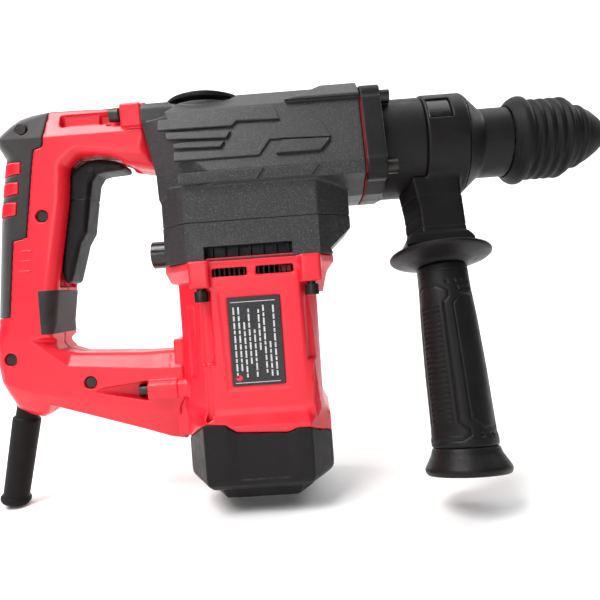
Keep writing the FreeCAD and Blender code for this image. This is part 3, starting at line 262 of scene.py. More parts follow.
PAINT = {
    "gear_housing": CASTING, "gearbox_base": CASTING, "front_cover": CASTING, "front_gasket": GASKET,
    "motor_housing": RED, "motor_cap": BLACK, "handle_shell_right": RED, "handle_shell_left": RED,
    "rear_grip_rubber_right": RUBBER, "rear_grip_rubber_left": RUBBER, "grip_pads": RUBBER,
    "trigger": BLACK, "mode_knob": BLACK, "trigger_pin": BLACK, "rear_knob": GLOSS,
    "cord_guard": GUARD, "chuck_sleeve": DARK_RUBBER,
    "nose_cap": DARK_RUBBER, "oil_seal": DARK_RUBBER,
    "aux_clamp": BLACK, "aux_flange": BLACK, "aux_grip": BLACK,
    "aux_butt": BLACK, "clamp_band": STRAP, "aux_stud": ZINC, "front_cover_screws": DARK_STEEL,
    "motor_housing_screws": DARK_STEEL, "handle_screws": DARK_STEEL, "shell_screws": DARK_STEEL,
    "rating_plate": PLATE, "fan": BLACK, "bearing_bracket": BLACK, "brush_holders": COPPER,
    "brushes": BLACK, "switch_body": BLACK, "cable_clamp": BLACK, "field_coils": COPPER,
    "armature_windings": COPPER, "commutator": COPPER, "tool_holder": STEEL,
}


def paint(piece, material):
    piece.data.materials.clear()
    piece.data.materials.append(material)


def soften(piece, width, angle=28.0, segments=3):
    """Rounds the edges of a hard piece: flat faces are made whole, then every sharp edge is bevelled."""
    weld = piece.modifiers.new("weld", "WELD")
    weld.merge_threshold = 0.00002
    flat = piece.modifiers.new("flat", "DECIMATE")
    flat.decimate_type = "DISSOLVE"
    flat.angle_limit = math.radians(0.6)
    bevel = piece.modifiers.new("edges", "BEVEL")
    bevel.width = width * MM
    bevel.segments = segments
    bevel.limit_method = "ANGLE"
    bevel.angle_limit = math.radians(angle)
    bevel.harden_normals = True
    normals = piece.modifiers.new("normals", "WEIGHTED_NORMAL")
    normals.keep_sharp = True


# ---------------------------------------------------------------- meshes from distance fields

def rounded_max(a, b, radius):
    """The intersection of two fields, with the edge between them rounded."""
    both = np.hypot(np.maximum(a + radius, 0.0), np.maximum(b + radius, 0.0))
    return np.minimum(np.maximum(a, b), -radius) + both


def rounded_min(a, b, radius):
    return -rounded_max(-a, -b, radius)


def outline_distance(points, u, v):
    """Signed distance to a closed outline, negative inside, over arrays u and v."""
    u, v = np.broadcast_arrays(u, v)
    nearest = np.full(u.shape, 1e9)
    inside = np.zeros(u.shape, bool)
    for (ax, ay), (bx, by) in zip(points, points[1:] + points[:1]):
        ex, ey = bx - ax, by - ay
        along = np.clip(((u - ax) * ex + (v - ay) * ey) / (ex * ex + ey * ey), 0.0, 1.0)
        nearest = np.minimum(nearest, np.hypot(u - ax - along * ex, v - ay - along * ey))
        if ay != by:
            crosses = ((ay > v) != (by > v)) & (u < ex * (v - ay) / ey + ax)
            inside ^= crosses
    return np.where(inside, -nearest, nearest)


def rounded_box(x, y, z, low, high, radius):
    parts = [np.maximum(a - value, value - b) for value, a, b in zip((x, y, z), low, high)]
    return rounded_max(rounded_max(parts[0], parts[1], radius), parts[2], radius)


def surface_mesh(name, field, low, high, step, place=None):
    """Closed quad mesh of field = 0 on a regular grid: one vertex in each cell that the surface crosses."""
    axes = [np.arange(a - 1.5 * step, b + 2.5 * step, step) for a, b in zip(low, high)]
    x, y, z = axes[0][:, None, None], axes[1][None, :, None], axes[2][None, None, :]
    values = np.broadcast_to(field(x, y, z), (len(axes[0]), len(axes[1]), len(axes[2]))).astype(np.float32)
    inside = values < 0.0
    cells = tuple(n - 1 for n in values.shape)
    total = np.zeros(cells + (3,), np.float32)
    count = np.zeros(cells, np.float32)
    quads = []
    crossings = []
    for axis in range(3):
        first = tuple(slice(0, -1) if k == axis else slice(None) for k in range(3))
        second = tuple(slice(1, None) if k == axis else slice(None) for k in range(3))
        a, b = values[first], values[second]
        crossed = inside[first] != inside[second]
        share = np.where(crossed, a / np.where(crossed, a - b, 1.0), 0.0)
        others = [k for k in range(3) if k != axis]
        for du in (0, 1):
            for dv in (0, 1):
                cut = [slice(None)] * 3
                cut[others[0]] = slice(du, du + cells[others[0]])
                cut[others[1]] = slice(dv, dv + cells[others[1]])
                here = crossed[tuple(cut)]
                count += here
                total[..., axis] += np.where(here, share[tuple(cut)], 0.0)
                total[..., others[0]] += here * float(du)
                total[..., others[1]] += here * float(dv)
        crossings.append((axis, others, crossed, inside[first]))
    active = count > 0
    index = np.full(cells, -1, np.int64)
    index[active] = np.arange(int(active.sum()))
    corner = np.argwhere(active)
    origin = np.array([line[0] for line in axes])
    points = origin + (corner + total[active] / count[active][:, None]) * step
    if place is not None:
        points = place(points)
    for axis, others, crossed, starts_inside in crossings:
        at = np.argwhere(crossed)
        keep = (at[:, others[0]] > 0) & (at[:, others[1]] > 0)
        keep &= (at[:, others[0]] < cells[others[0]]) & (at[:, others[1]] < cells[others[1]])
        at = at[keep]
        ring = []
        for du, dv in ((1, 1), (0, 1), (0, 0), (1, 0)):
            cell = at.copy()
            cell[:, others[0]] -= du
            cell[:, others[1]] -= dv
            ring.append(index[cell[:, 0], cell[:, 1], cell[:, 2]])
        quad = np.stack(ring, axis=1)
        outward = starts_inside[at[:, 0], at[:, 1], at[:, 2]] != (axis == 1)
        quads.append(np.where(outward[:, None], quad, quad[:, ::-1]))
    return mesh_object(name, points, np.concatenate(quads))


def mesh_object(name, points, faces):
    """An object from arrays of points, in drawing millimetres, and of faces with equal corner counts."""
    mesh = bpy.data.meshes.new(name)
    faces = np.asarray(faces, np.int32)
    points = (np.asarray(points, float) - (0.0, 0.0, FOOT)) * MM
    mesh.vertices.add(len(points))
    mesh.vertices.foreach_set("co", np.asarray(points, np.float32).ravel())
    mesh.loops.add(faces.size)
    mesh.loops.foreach_set("vertex_index", faces.ravel())
    mesh.polygons.add(len(faces))
    mesh.polygons.foreach_set("loop_start", np.arange(0, faces.size, faces.shape[1], dtype=np.int32))
    mesh.polygons.foreach_set("use_smooth", np.ones(len(faces), bool))
    mesh.update(calc_edges=True)
    mesh.validate()
    piece = bpy.data.objects.new(name, mesh)
    bpy.context.scene.collection.objects.link(piece)
    return piece


def finish_piece(piece, body, material, slot, *replaced):
    paint(piece, material)
    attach(piece, body)
    if replaced:
        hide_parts(*replaced)
    return piece


# ---------------------------------------------------------------- rear handle

HANDLE = [(-60.4, 270), (-70, 269.8), (-73, 267.8), (-91, 267.1), (-103, 267.7), (-130, 268.2), (-138, 267.8),
          (-146, 266.5), (-152, 263), (-157.5, 257), (-163, 249.5), (-160.2, 246), (-157.6, 238),
          (-163.6, 202),
          (-171, 131), (-171.9, 102.3), (-169.9, 85.2), (-166.3, 70.7), (-164.5, 68.2), (-154.5, 65.2),
          (-146.4, 64.4), (-142.8, 66.8), (-137.7, 73.7), (-133.5, 72.3), (-111.6, 64.7), (-77, 52.6),
          (-60, 46),
          (-49.2, 44), (-49.2, 68), (-45.8, 74), (-45.8, 114), (-52, 104.6), (-73, 104.4), (-118, 107),
          (-128.8, 110.2), (-131.5, 114), (-130.8, 122), (-125.7, 154), (-114.6, 208), (-112.5, 229),
          (-104, 236),
          (-96, 231), (-76, 228), (-53.6, 223.6), (-60.4, 247)]
BACK_Z, BACK_X = zip((67, -165), (85, -170), (102, -172), (131, -171), (202, -163.6), (238, -157.6),
                     (250, -163), (262, -153))
RUBBER_ZONE = [(-122.5, 290), (-127, 243), (-133, 241), (-135, 230), (-142, 185), (-151, 183), (-157, 134),
               (-190, 132), (-190, 290)]
TRIGGER = [(-92, 226), (-97, 225), (-100.6, 220), (-103.2, 206), (-106.6, 187), (-111.4, 179.6),
           (-118, 158.6),
           (-119.4, 155), (-121.6, 153.6), (-124.6, 155.6), (-125.6, 162), (-121, 208), (-115.5, 226.5),
           (-107.1, 232.6), (-101.6, 234.6), (-95, 235), (-83.9, 233.2), (-78.8, 230.6), (-78.3, 227.8),
           (-79.8, 226.6), (-87.2, 226.2)]
TRIGGER_OPENING = [(-104.6, 234), (-108.4, 231), (-110, 226), (-112.5, 203.5), (-119.6, 158), (-120.6, 154.4),
                   (-119, 151.8), (-90, 151.8), (-80, 190), (-77.6, 227.2), (-78.2, 231.8), (-83.9, 234.4),
                   (-95, 236.2), (-101, 235.6)]
TRIGGER_SLOT = [(-90, 151.8), (-127.5, 151.8), (-131.5, 162), (-127, 208), (-121, 228), (-110, 236),
                (-98, 237),
                (-84, 236), (-70, 228), (-80, 180)]
TRIGGER_HALF = 10.5
SEAM_SCREWS = [(-130.8, 198), (-158.8, 106), (-107.5, 87.6), (-141, 255.6)]
GRIP_HALF = 19.4
SKIN = 2.4


def above(points, x, z):
    """Height above a broken line that runs along X, zero under it."""
    return np.maximum(z - np.interp(x, *zip(*points)), 0.0)


def under(points, x, z):
    return np.maximum(np.interp(x, *zip(*points)) - z, 0.0)


UPPER_CREASE = [(-176, 249.5), (-126, 248.7), (-59, 248.7)]
LOWER_EDGE = [(-126, 241.5), (-59, 233)]
ARM_CREASE = [(-143.6, 116.5), (-121.4, 99.3), (-67, 94.3), (-34.5, 93.4)]
ARM_EDGE = [(-176, 99), (-168, 92), (-150, 84.5), (-127, 79.5), (-56, 65), (-40, 64.5)]


def handle_body(x, y, z):
    """The whole handle before anything is cut: a D-shaped prism with a round grip and facetted arms."""
    flat = outline_distance(HANDLE, x, z)
    front = np.clip((x + 104.0) / 10.0, 0.0, 1.0)
    low_arm = np.clip((119.0 - z) / 3.0, 0.0, 1.0) * (x > -143.6)
    half = GRIP_HALF - 0.42 * above(UPPER_CREASE, x, z) - 0.5 * front * under(LOWER_EDGE, x, z) * (z > 200.0)
    half = half - 0.85 * low_arm * above(ARM_CREASE, x, z) - 0.5 * under(ARM_EDGE, x, z)
    inward = x - np.interp(z, BACK_Z, BACK_X)
    grip = np.clip(np.minimum((z - 118.0) / 10.0, (246.0 - z) / 8.0), 0.0, 1.0)
    radius = np.interp(inward, (0.0, 18.0, 27.0), (17.0, 13.0, 7.0))
    radius = grip * radius + (1.0 - grip) * np.interp(inward, (0.0, 12.0, 30.0), (13.0, 8.0, 1.8))
    return rounded_max(flat, np.abs(y) - half, radius)


def screw_channel(x, y, z):
    """The open channel that a driver reaches the upper screw through, and the notch over the screw's head."""
    channel = rounded_box(x, -np.abs(y), z, (-116, -40, 255.0), (-84, -11.0, 264.2), 2.5)
    deeper = rounded_box(x, -np.abs(y), z, (-91, -40, 256.5), (-83, -9.0, 262.5), 1.0)
    notch = rounded_box(x, -np.abs(y), z, (-84.5, -40, 253.6), (-74.5, -11.0, 290), 0.6)
    return np.minimum(np.minimum(channel, deeper), notch)


def screw_boss(x, y, z):
    return rounded_box(x, np.abs(y), z, (-74.4, 8, 251.0), (-60.4, 21.6, 266.0), 1.2)


def lower_boss(x, y, z):
    """The boss round the lower screw: a bar with a sloping top edge."""
    bar = rounded_box(x, np.abs(y), z, (-69.5, 8, 74.5), (-49.6, 23.6, 86.5), 0.8)
    return rounded_max(bar, (np.abs(y) - 23.6) + (z - 83.6) * 1.1, 0.6)


def driver_groove(x, y, z):
    """The tapering groove that leads to the lower screw's head."""
    spread = 1.2 + np.clip((x + 104.0) / 34.0, 0.0, 1.0) * 5.4
    level = 79.8 + np.clip((-70.0 - x) / 34.0, 0.0, 1.0) * 2.0
    deep = 18.6 - np.clip((x + 104.0) / 34.0, 0.0, 1.0) * 9.0
    groove = rounded_max(np.abs(z - level) - spread, deep - np.abs(y), 1.5)
    return np.maximum(np.maximum(groove, x + 69.6), -104.0 - x)


def seam_holes(x, y, z):
    """Sunk holes over the shell screws, on the right side."""
    deep = np.full(np.broadcast(x, y, z).shape, 1e3)
    for sx, sz in SEAM_SCREWS:
        deep = np.minimum(deep, np.maximum(np.hypot(x - sx, z - sz) - 4.2, y + 15.2))
    return deep


def shell_field(x, y, z):
    body = handle_body(x, y, z)
    zone = outline_distance(RUBBER_ZONE, x, z)
    body = np.maximum(body, -np.maximum(zone - 0.35, -(body + SKIN)))
    body = rounded_min(body, screw_boss(x, y, z), 1.0)
    body = np.maximum(body, -driver_groove(x, y, z))
    body = rounded_min(body, lower_boss(x, y, z), 1.0)
    body = rounded_max(body, -outline_distance(TRIGGER_OPENING, x, z), 3.6)
    body = np.maximum(body, -np.maximum(outline_distance(TRIGGER_SLOT, x, z), np.abs(y) - TRIGGER_HALF - 0.7))
    body = np.maximum(body, -screw_channel(x, y, z))
    line = np.maximum(np.abs(x + 54.2) - 0.3, -(body + 0.5))
    body = np.maximum(body, -np.maximum(line, z - 106.0))
    return np.maximum(body, -seam_holes(x, y, z))


def rubber_field(x, y, z):
    """The moulded-on rubber: a skin over the back of the grip, with three windows for the red bars."""
    body = handle_body(x, y, z)
    skin = np.maximum(rounded_max(body, outline_distance(RUBBER_ZONE, x, z), 0.8), -(body + SKIN - 0.1))
    skin = np.maximum(skin, -seam_holes(x, y, z))
    return np.maximum(skin, -(bars(x, y, z) - 0.5))


BARS = [((-170, 235.0), (-141.7, 233.8), (-142.7, 226.3), (-170, 225.0)),
        ((-170, 222.2), (-144.2, 221.0), (-145.2, 213.5), (-170, 212.2)),
        ((-174, 209.2), (-146.2, 208.2), (-147.6, 199.8), (-174, 198.6))]


def bars(x, y, z):
    """Three bars across the back of the grip that wrap onto its sides."""
    nearest = np.full(np.broadcast(x, z).shape, 1e3)
    for corners in BARS:
        nearest = np.minimum(nearest, outline_distance(list(corners), x, z))
    return nearest + 0.0 * y


def bars_field(x, y, z):
    body = handle_body(x, y, z)
    raised = rounded_max(body - 0.25, bars(x, y, z), 0.8)
    return np.maximum(raised, -(body + SKIN + 0.3))


def half_of(field, side):
    """Keeps one side of the middle plane, with a hairline gap at the seam."""
    return lambda x, y, z: np.maximum(field(x, y, z), 0.12 - side * y)


def rear_handle():
    for side, name in ((-1, "right"), (1, "left")):
        span = (-26, 1) if side < 0 else (-1, 26)
        shell = surface_mesh("shell_" + name, half_of(shell_field, side), (-175, span[0], 43),
                             (-45, span[1], 275), 0.8)
        finish_piece(shell, "machine", RED, "red_shell", "handle_shell_" + name)
        rubber = surface_mesh("rubber_" + name, half_of(rubber_field, side), (-174, span[0], 130),
                              (-120, span[1], 272), 0.7)
        finish_piece(rubber, "machine", RUBBER, "black_rubber", "rear_grip_rubber_" + name)
        piece = surface_mesh("grip_bars_" + name, half_of(bars_field, side), (-168, span[0], 197),
                             (-140, span[1], 236), 0.55)
        finish_piece(piece, "machine", RED, "red_shell")


def trigger():
    def field(x, y, z):
        body = rounded_max(outline_distance(TRIGGER, x, z), np.abs(y) - TRIGGER_HALF, 3.6)
        seam = np.maximum(np.abs(z - 209.5) - 0.35, -(body + 0.6))
        return np.maximum(body, -seam)

    piece = surface_mesh("trigger_lever", field, (-128, -12, 152), (-76, 12, 237), 0.6)
    finish_piece(piece, "trigger", BLACK, "black_plastic", "trigger")


def grip_pad():
    """The soft pad low on the grip: it covers both sides and wraps round the front."""
    pad = [(-137.6, 149.8), (-110, 149.8), (-114, 120.0), (-137.6, 121.0)]

    def field(x, y, z):
        body = handle_body(x, y, z)
        edge = outline_distance(pad, x, z)
        return np.maximum(rounded_max(body - 0.5, edge, 0.9), -(body + 1.0))

    piece = surface_mesh("grip_pad", field, (-141, -21, 119), (-118, 21, 152), 0.6)
    finish_piece(piece, "machine", PAD, "black_rubber", "grip_pads")


def grip_marks():
    """Three raised dashes between the rubber and the pad."""
    def field(x, y, z):
        body = handle_body(x, y, z)
        marks = np.full(np.broadcast(x, z).shape, 1e3)
        for k in range(3):
            level = 176.0 - 6.5 * k
            marks = np.minimum(marks, np.hypot(np.maximum(np.abs(x + 142.7 + k) - 3.3, 0.0), z - level) - 0.8)
        return np.maximum(rounded_max(body - 0.5, marks, 0.4), -(body + 1.0))

    for name, near, far in (("right", -21, -15), ("left", 15, 21)):
        piece = surface_mesh("grip_marks_" + name, field, (-152, near, 158), (-134, far, 180), 0.5)
        finish_piece(piece, "machine", RED, "red_shell")


# ---------------------------------------------------------------- motor housing and cap

MOTOR_NEAR = [(-45, -20), (-25, -42.3), (40, -42.3), (43.4, -30)]
CAP_NEAR = [(-44.8, -20), (-30, -46), (35, -46), (47.4, -24)]
RIM_NEAR = [(-54, -15), (-33, -44), (45.6, -44), (56, -22)]
CAP_LEVELS = [(10, 0.64), (11.5, 0.7), (18.5, 0.78), (20, 0.9), (23.5, 0.975), (26.5, 1.0), (70, 1.0)]
JOINT = [(-34, 61.5), (-28, 61.4), (-16.8, 60.6), (-9.9, 56.2), (21.2, 54.6), (26.7, 56.6), (37, 56.4),
         (47.7, 59.5)]
SCREW_X = (-26.3, 41.0)
SCREW_Y = 40.9
PLATE_X = 5.2
VENTS = [(-18.7, 2.3), (7.9, 30.4)]
VENT_LEVEL = (149.7, 154.7)


def both_sides(near):
    return near + [(x, -y) for x, y in reversed(near)]


def prism(near, x, y):
    """Distance to a plan that is the same on both sides."""
    return outline_distance(both_sides(near), x, y)


def joint_level(x, y):
    """Height of the stepped, wavy joint between motor housing and cap."""
    near = np.clip((np.abs(y) - 20.0) / 26.0, 0.0, 1.0)
    return np.interp(x, *zip(*JOINT)) - 13.0 * (1.0 - near)


def motor_outside(x, y, z):
    """The column, whose near and far faces widen downwards, the skirt at its foot and the rim at its top."""
    down = np.clip((142.0 - z) / 72.0, 0.0, 1.0)
    narrow = [(-45, -20), (-21.5, -42.3), (33.5, -42.3), (43.7, -26)]
    column = prism(narrow, x, y) * (1.0 - down) + prism(MOTOR_NEAR, x, y) * down
    column = rounded_max(column, 64.0 - z, 1.0)
    wide = prism(CAP_NEAR, x, y)
    blend = np.clip((z - 59.0) / 8.5, 0.0, 1.0)
    flare = np.maximum(wide * (1.0 - blend) + prism(MOTOR_NEAR, x, y) * blend, z - 68.0)
    outside = rounded_min(column, flare, 1.5)
    taper = np.where(x > 0.0, np.interp(z, (136, 143, 149.4, 155), (8.0, 6.4, 4.5, 0.0)),
                     np.interp(z, (144.5, 149, 155), (6.0, 2.5, 0.0)))
    rim = np.maximum(prism(RIM_NEAR, x, y) + taper, np.maximum(z - 159.4, 136.5 - z))
    rim = np.maximum(rim, np.where(x > 38.0, -1e3, 147.5 - z))
    return rounded_min(outside, rim, 1.2)


def motor_field(x, y, z):
    """The red motor housing with its bosses, driver channels, air slots and plate recess."""
    body = motor_outside(x, y, z)
    neck = rounded_box(x, y, z, (-52, -18, 47), (-40, 18, 112), 1.0)
    body = rounded_min(body, neck, 2.0)
    arm_boss = rounded_box(x, np.abs(y), z, (-50.5, 12, 74.8), (-34, 23.2, 86.2), 0.8)
    body = rounded_min(body, rounded_max(arm_boss, (np.abs(y) - 23.2) + (z - 83.4) * 1.1, 0.6), 0.8)
    around = np.minimum(*[np.hypot(x - sx, np.abs(y) - SCREW_Y) for sx in SCREW_X])
    square = np.minimum(*[rounded_max(np.abs(x - sx) - 6.2, np.abs(np.abs(y) - 39.0) - 6.6, 1.2)
                          for sx in SCREW_X])
    boss = rounded_max(square, np.abs(z - 151.4) - 8.2, 1.0)
    body = rounded_min(body, boss, 1.2)
    channel = rounded_max(around - 5.6, np.maximum(z - 142.2, 96.0 - z) + 0.0 * x, 1.5)
    body = np.maximum(body, -channel)
    body = np.maximum(body, -(around - 2.7))
    panel = rounded_box(x, np.abs(y), z, (-20.0, 42.6, 147.0), (34.0, 60, 157.6), 1.2)
    body = np.maximum(body, -panel)
    for a, b in VENTS:
        slot = rounded_box(x, np.abs(y), z, (a, 34, VENT_LEVEL[0]), (b, 60, VENT_LEVEL[1]), 0.8)
        body = np.maximum(body, -slot)
    recess = rounded_box(x, y, z, (PLATE_X - 16.6, -60, 82.3), (PLATE_X + 16.6, -41.5, 137.1), 0.8)
    body = np.maximum(body, -recess)
    bezel = rounded_max(outline_distance([(-16.4, 140.4), (-14.2, 80.0), (24.8, 80.0), (24.8, 140.4)], x, z),
                        41.9 - np.abs(y), 0.8)
    body = np.maximum(body, -bezel)
    facet = np.maximum(np.abs(x + 36.5) - 2.6, np.abs(z - 110.0) - 22.0)
    body = np.maximum(body, -np.maximum(facet, -(body + 0.6)))
    body = np.maximum(body, -(np.hypot(x, y) - 39.5))
    return np.maximum(body, joint_level(x, y) + 0.15 - z)


def cap_outside(x, y, z):
    level = np.interp(z, *zip(*CAP_LEVELS))
    return prism(CAP_NEAR, x / level, y / level) * level


def cap_field(x, y, z):
    """The black motor cap, with upright ridges that carry the joint's steps down its near and far sides."""
    body = rounded_max(cap_outside(x, y, z), FOOT - z, 1.0)
    far = np.abs(y) > 40.0
    edge = np.clip(np.minimum(x + 16.8, 26.7 - x) / 6.9, 0.0, 1.0)
    body = body + np.where(far, 0.9 * edge * np.clip((z - 25.0) / 3.0, 0.0, 1.0), 0.0)
    line = np.maximum(np.abs(z - 26.8) - 0.3, -(body + 0.4))
    body = np.maximum(body, -line)
    inner = np.maximum(prism(CAP_NEAR, x / 0.91, y / 0.91) * 0.91, 26.0 - z)
    well = np.maximum(prism(CAP_NEAR, x / 0.6, y / 0.6) * 0.6, 14.0 - z)
    body = np.maximum(body, -np.minimum(inner, well))
    return np.maximum(body, z - joint_level(x, y) + 0.15)


def motor():
    housing = surface_mesh("motor_shell", motor_field, (-55, -50, 41), (57, 50, 160), 0.8)
    finish_piece(housing, "machine", RED, "red_shell", "motor_housing")
    cap = surface_mesh("motor_end_cap", cap_field, (-50, -47, 9), (51, 47, 64), 0.8)
    finish_piece(cap, "machine", BLACK, "black_plastic", "motor_cap")
    fins()


def fins():
    """Upright fins behind the air slots."""
    points, faces = [], []
    for a, b in VENTS:
        count = 7
        for k in range(count):
            middle = a + (b - a) * (k + 0.5) / count
            for side in (-1, 1):
                y0, y1 = sorted((side * 35.5, side * 40.9))
                add_box(points, faces, (middle - 0.55, y0, 148.6), (middle + 0.55, y1, 155.8))
    piece = mesh_object("vent_fins", points, faces)
    flat_shade(piece)
    bevel(piece, 0.25)
    finish_piece(piece, "machine", BLACK, "black_plastic")


def add_box(points, faces, low, high):
    first = len(points)
    for x in (low[0], high[0]):
        for y in (low[1], high[1]):
            for z in (low[2], high[2]):
                points.append((x, y, z))
    for ring in ((0, 1, 3, 2), (4, 6, 7, 5), (0, 4, 5, 1), (2, 3, 7, 6), (0, 2, 6, 4), (1, 5, 7, 3)):
        faces.append([first + k for k in ring])


def flat_shade(piece):
    piece.data.polygons.foreach_set("use_smooth", np.zeros(len(piece.data.polygons), bool))


def bevel(piece, width, segments=3, angle=25.0):
    made = piece.modifiers.new("edges", "BEVEL")
    made.width = width * MM
    made.segments = segments
    made.limit_method = "ANGLE"
    made.angle_limit = math.radians(angle)
    made.harden_normals = True
    piece.data.polygons.foreach_set("use_smooth", np.ones(len(piece.data.polygons), bool))


def louvres_and_shade_plate():
    """Black louvres and a black backing plate behind the air window of the gearbox base: dark pieces put in
    as painted shade for the window's hollow.
    """
    points, faces = [], []
    for side in (-1, 1):
        y0, y1 = sorted((side * 33.0, side * 35.0))
        # the backing plate across the whole window: a black sheet that stands in for the shade inside it
        add_box(points, faces, (-23.5, y0, 159.7), (32.2, y1, 169.5))
        for k in range(7):
            middle = -19.0 + 7.8 * k
            y0, y1 = sorted((side * 34.5, side * 37.5))
            add_box(points, faces, (middle, y0, 159.8), (middle + 1.2, y1, 169.0))
    piece = mesh_object("window_shade_louvres", points, faces)
    bevel(piece, 0.25)
    finish_piece(piece, "machine", BLACK, "black_plastic")


# ---------------------------------------------------------------- raised plates

def prism_mesh(name, outlines, place, thickness, edge):
    """Bevelled plates from outlines in the plane's (u, v), laid along place(u, v, height)."""
    mesh = bmesh.new()
    for points in outlines:
        area = sum(a[0] * b[1] - b[0] * a[1] for a, b in zip(points, points[1:] + points[:1]))
        ordered = points if area > 0 else points[::-1]
        low = [mesh.verts.new(place(u, v, -0.4)) for u, v in ordered]
        high = [mesh.verts.new(place(u, v, thickness)) for u, v in ordered]
        count = len(ordered)
        mesh.faces.new(high)
        mesh.faces.new(low[::-1])
        for k in range(count):
            mesh.faces.new((low[k], low[(k + 1) % count], high[(k + 1) % count], high[k]))
    bmesh.ops.recalc_face_normals(mesh, faces=mesh.faces)
    data = bpy.data.meshes.new(name)
    mesh.to_mesh(data)
    mesh.free()
    piece = bpy.data.objects.new(name, data)
    bpy.context.scene.collection.objects.link(piece)
    bevel(piece, edge)
    return piece


def slope_place(low, high, side):
    """Places (x, distance up the slope, height above it) on the plane through two near-side (Y, Z) points."""
    run = math.hypot(high[0] - low[0], high[1] - low[1])
    along = ((high[0] - low[0]) / run, (high[1] - low[1]) / run)
    out = (-along[1], along[0])

    def place(u, v, h):
        y = low[0] + along[0] * v + out[0] * h
        z = low[1] + along[1] * v + out[1] * h
        return Vector((u * MM, -side * y * MM, (z - FOOT) * MM))

    return place


SECTION = [(44, 219), (33, 254), (15, 268), (-15, 268), (-33, 254), (-44, 219), (-46, 212.5), (-46, 205),
           (-38, 203),
           (-20, 196), (0, 195), (20, 196), (38, 203), (46, 205), (46, 212.5)]
BASE_NEAR = [(-50, -28), (-33, -44), (47.6, -44), (67.6, -28)]
KNOB_X = -22.0
REAR_CUT = [(-66, 190), (-66, 250), (-60, 250), (-51.5, 216), (-50, 190)]
CORNER_POINT = (-57.7, 24.0, 247.4)   # a point on the facet over the rear corner, and the facet's direction
CORNER_NORMAL = (-0.520, 0.854, 0.038)
BOSS_FOOT = 251.5                     # height of the ledge that the rear bosses stand on, mm


def gear_housing_field(x, y, z):
    """The gear housing: a facetted prism on a skirt, with bosses at the back and a ridge at the front."""
    side = np.abs(y)
    section = outline_distance(SECTION, y, z)
    body = rounded_max(section, np.maximum(-60.0 - x, x - 77.9) + 0.0 * y, 0.8)
    body = rounded_max(body, z - 268.0 + 0.25 * np.clip(-38.0 - x, 0.0, None), 0.8)
    body = np.maximum(body, -outline_distance(REAR_CUT, x, z))
    facets = np.maximum((-0.387 * (x + 37.0) + (side - 40.0) - 0.138 * (z - 230.0)) / 1.081,
                        (-0.9 * (x + 37.0) + (side - 46.0) * 0.6 - 8.0 - 0.42 * (z - 206.0)) / 1.16)
    corner = sum(n * (value - at) for n, value, at in zip(CORNER_NORMAL, (x, side, z), CORNER_POINT))
    facets = np.maximum(facets, np.where(z < BOSS_FOOT + 0.5, corner, -60.0))
    body = np.maximum(body, facets)
    plan = prism(BASE_NEAR, x, y)
    skirt = np.maximum(plan, np.maximum(182.7 - z, z - 206.0))
    body = rounded_min(body, skirt, 0.8)
    boss = rounded_box(x, side, z, (-60.0, 8, BOSS_FOOT), (-36.0, 25.0, 264.6), 1.0)
    boss = rounded_max(boss, (side - 25.0) + (z - 259.5) * 0.7, 0.8)
    boss = rounded_max(boss, ((x + 40.0) + (z - 258.0) * 0.45 + (side - 21.0) * 0.4) / 1.2, 0.8)
    body = rounded_min(body, boss, 0.8)
    knob_ring = rounded_max(np.hypot(x - KNOB_X, y) - 27.0, z - 265.0, 1.5)
    body = np.minimum(body, np.maximum(knob_ring, 250.0 - z))
    notch = np.maximum(np.maximum(x + 38.0 + (side - 24.6) * 0.5, 24.6 - side), BOSS_FOOT - z)
    body = np.maximum(body, -notch)
    ridge = rounded_max(outline_distance(RIDGE, x, z) + 0.0 * y, section - 3.2, 0.8)
    body = rounded_min(body, ridge, 0.6)
    inside = np.maximum(np.maximum(section, facets) + WALL, np.maximum(-46.0 - x, x - 90.0))
    inside = np.maximum(inside, WALL - np.minimum(outline_distance(REAR_CUT, x, z), notch))
    inside = np.minimum(inside, np.maximum(plan + WALL, np.maximum(180.0 - z, z - 202.0)))
    body = np.maximum(body, -inside)
    body = np.maximum(body, -np.maximum(np.hypot(x - KNOB_X, y) - 27.6, 262.1 - z))
    return np.maximum(body, -np.maximum(np.hypot(x - KNOB_X, y) - 6.1, 240.0 - z))


RIDGE = [(29, 254.5), (38, 256.5), (55, 267.8), (77.9, 267.8), (77.9, 254.5)]
UPPER_SIDE = ((-44, 219), (-33, 254))
BELT = ((-46, 205), (-46, 212.5))
SIDE_PLATES = [
    [(-28, 36), (25, 34.2), (28.8, 24.3), (2.5, 25.3), (-0.6, 22), (-46, 22.5), (-46, 29.6), (-32.5, 29.8)],
    [(-41.6, 20.7), (-1.3, 18.6), (-3.9, 13.9), (-40.4, 15.7)],
    [(-36.7, 12.6), (-5.1, 11.9), (-7.6, 8), (-36, 9.1)],
]
CENTRE_PLATE = [(-36, 7), (14.6, 4.6), (26.4, 22.4), (54.1, 21.3), (59.2, 9.7), (29.9, 10.9), (22, 10.9),
                (15.4, 0.8), (-36, 0.8)]
FRONT_PLATE = [(30.2, 9.6), (58.6, 8.6), (52, 0.8), (25.2, 0.8)]
BELT_PLATES = [
    [(-33.5, 7.0), (17.6, 7.0), (12.9, 0.4), (-34.2, 0.4)],
    [(20.1, 7.0), (50.8, 6.6), (45.5, 0.4), (15.6, 0.4)],
]


def gear_housing():
    piece = surface_mesh("gear_case", gear_housing_field, (-61, -47, 182), (79, 47, 269), 0.75)
    finish_piece(piece, "machine", CASTING, "black_casting", "gear_housing")


def relief():
    """Raised plates on both sides of the gear housing."""
    for side, name in ((-1, "right"), (1, "left")):
        upper = slope_place(*UPPER_SIDE, side)
        add_plates("upper_plates_" + name, SIDE_PLATES, upper, 1.7)
        add_plates("centre_plate_" + name, [CENTRE_PLATE], upper, 1.2)
        add_plates("front_plate_" + name, [FRONT_PLATE], upper, 2.0)
        add_plates("belt_plates_" + name, BELT_PLATES, slope_place(*BELT, side), 1.1)


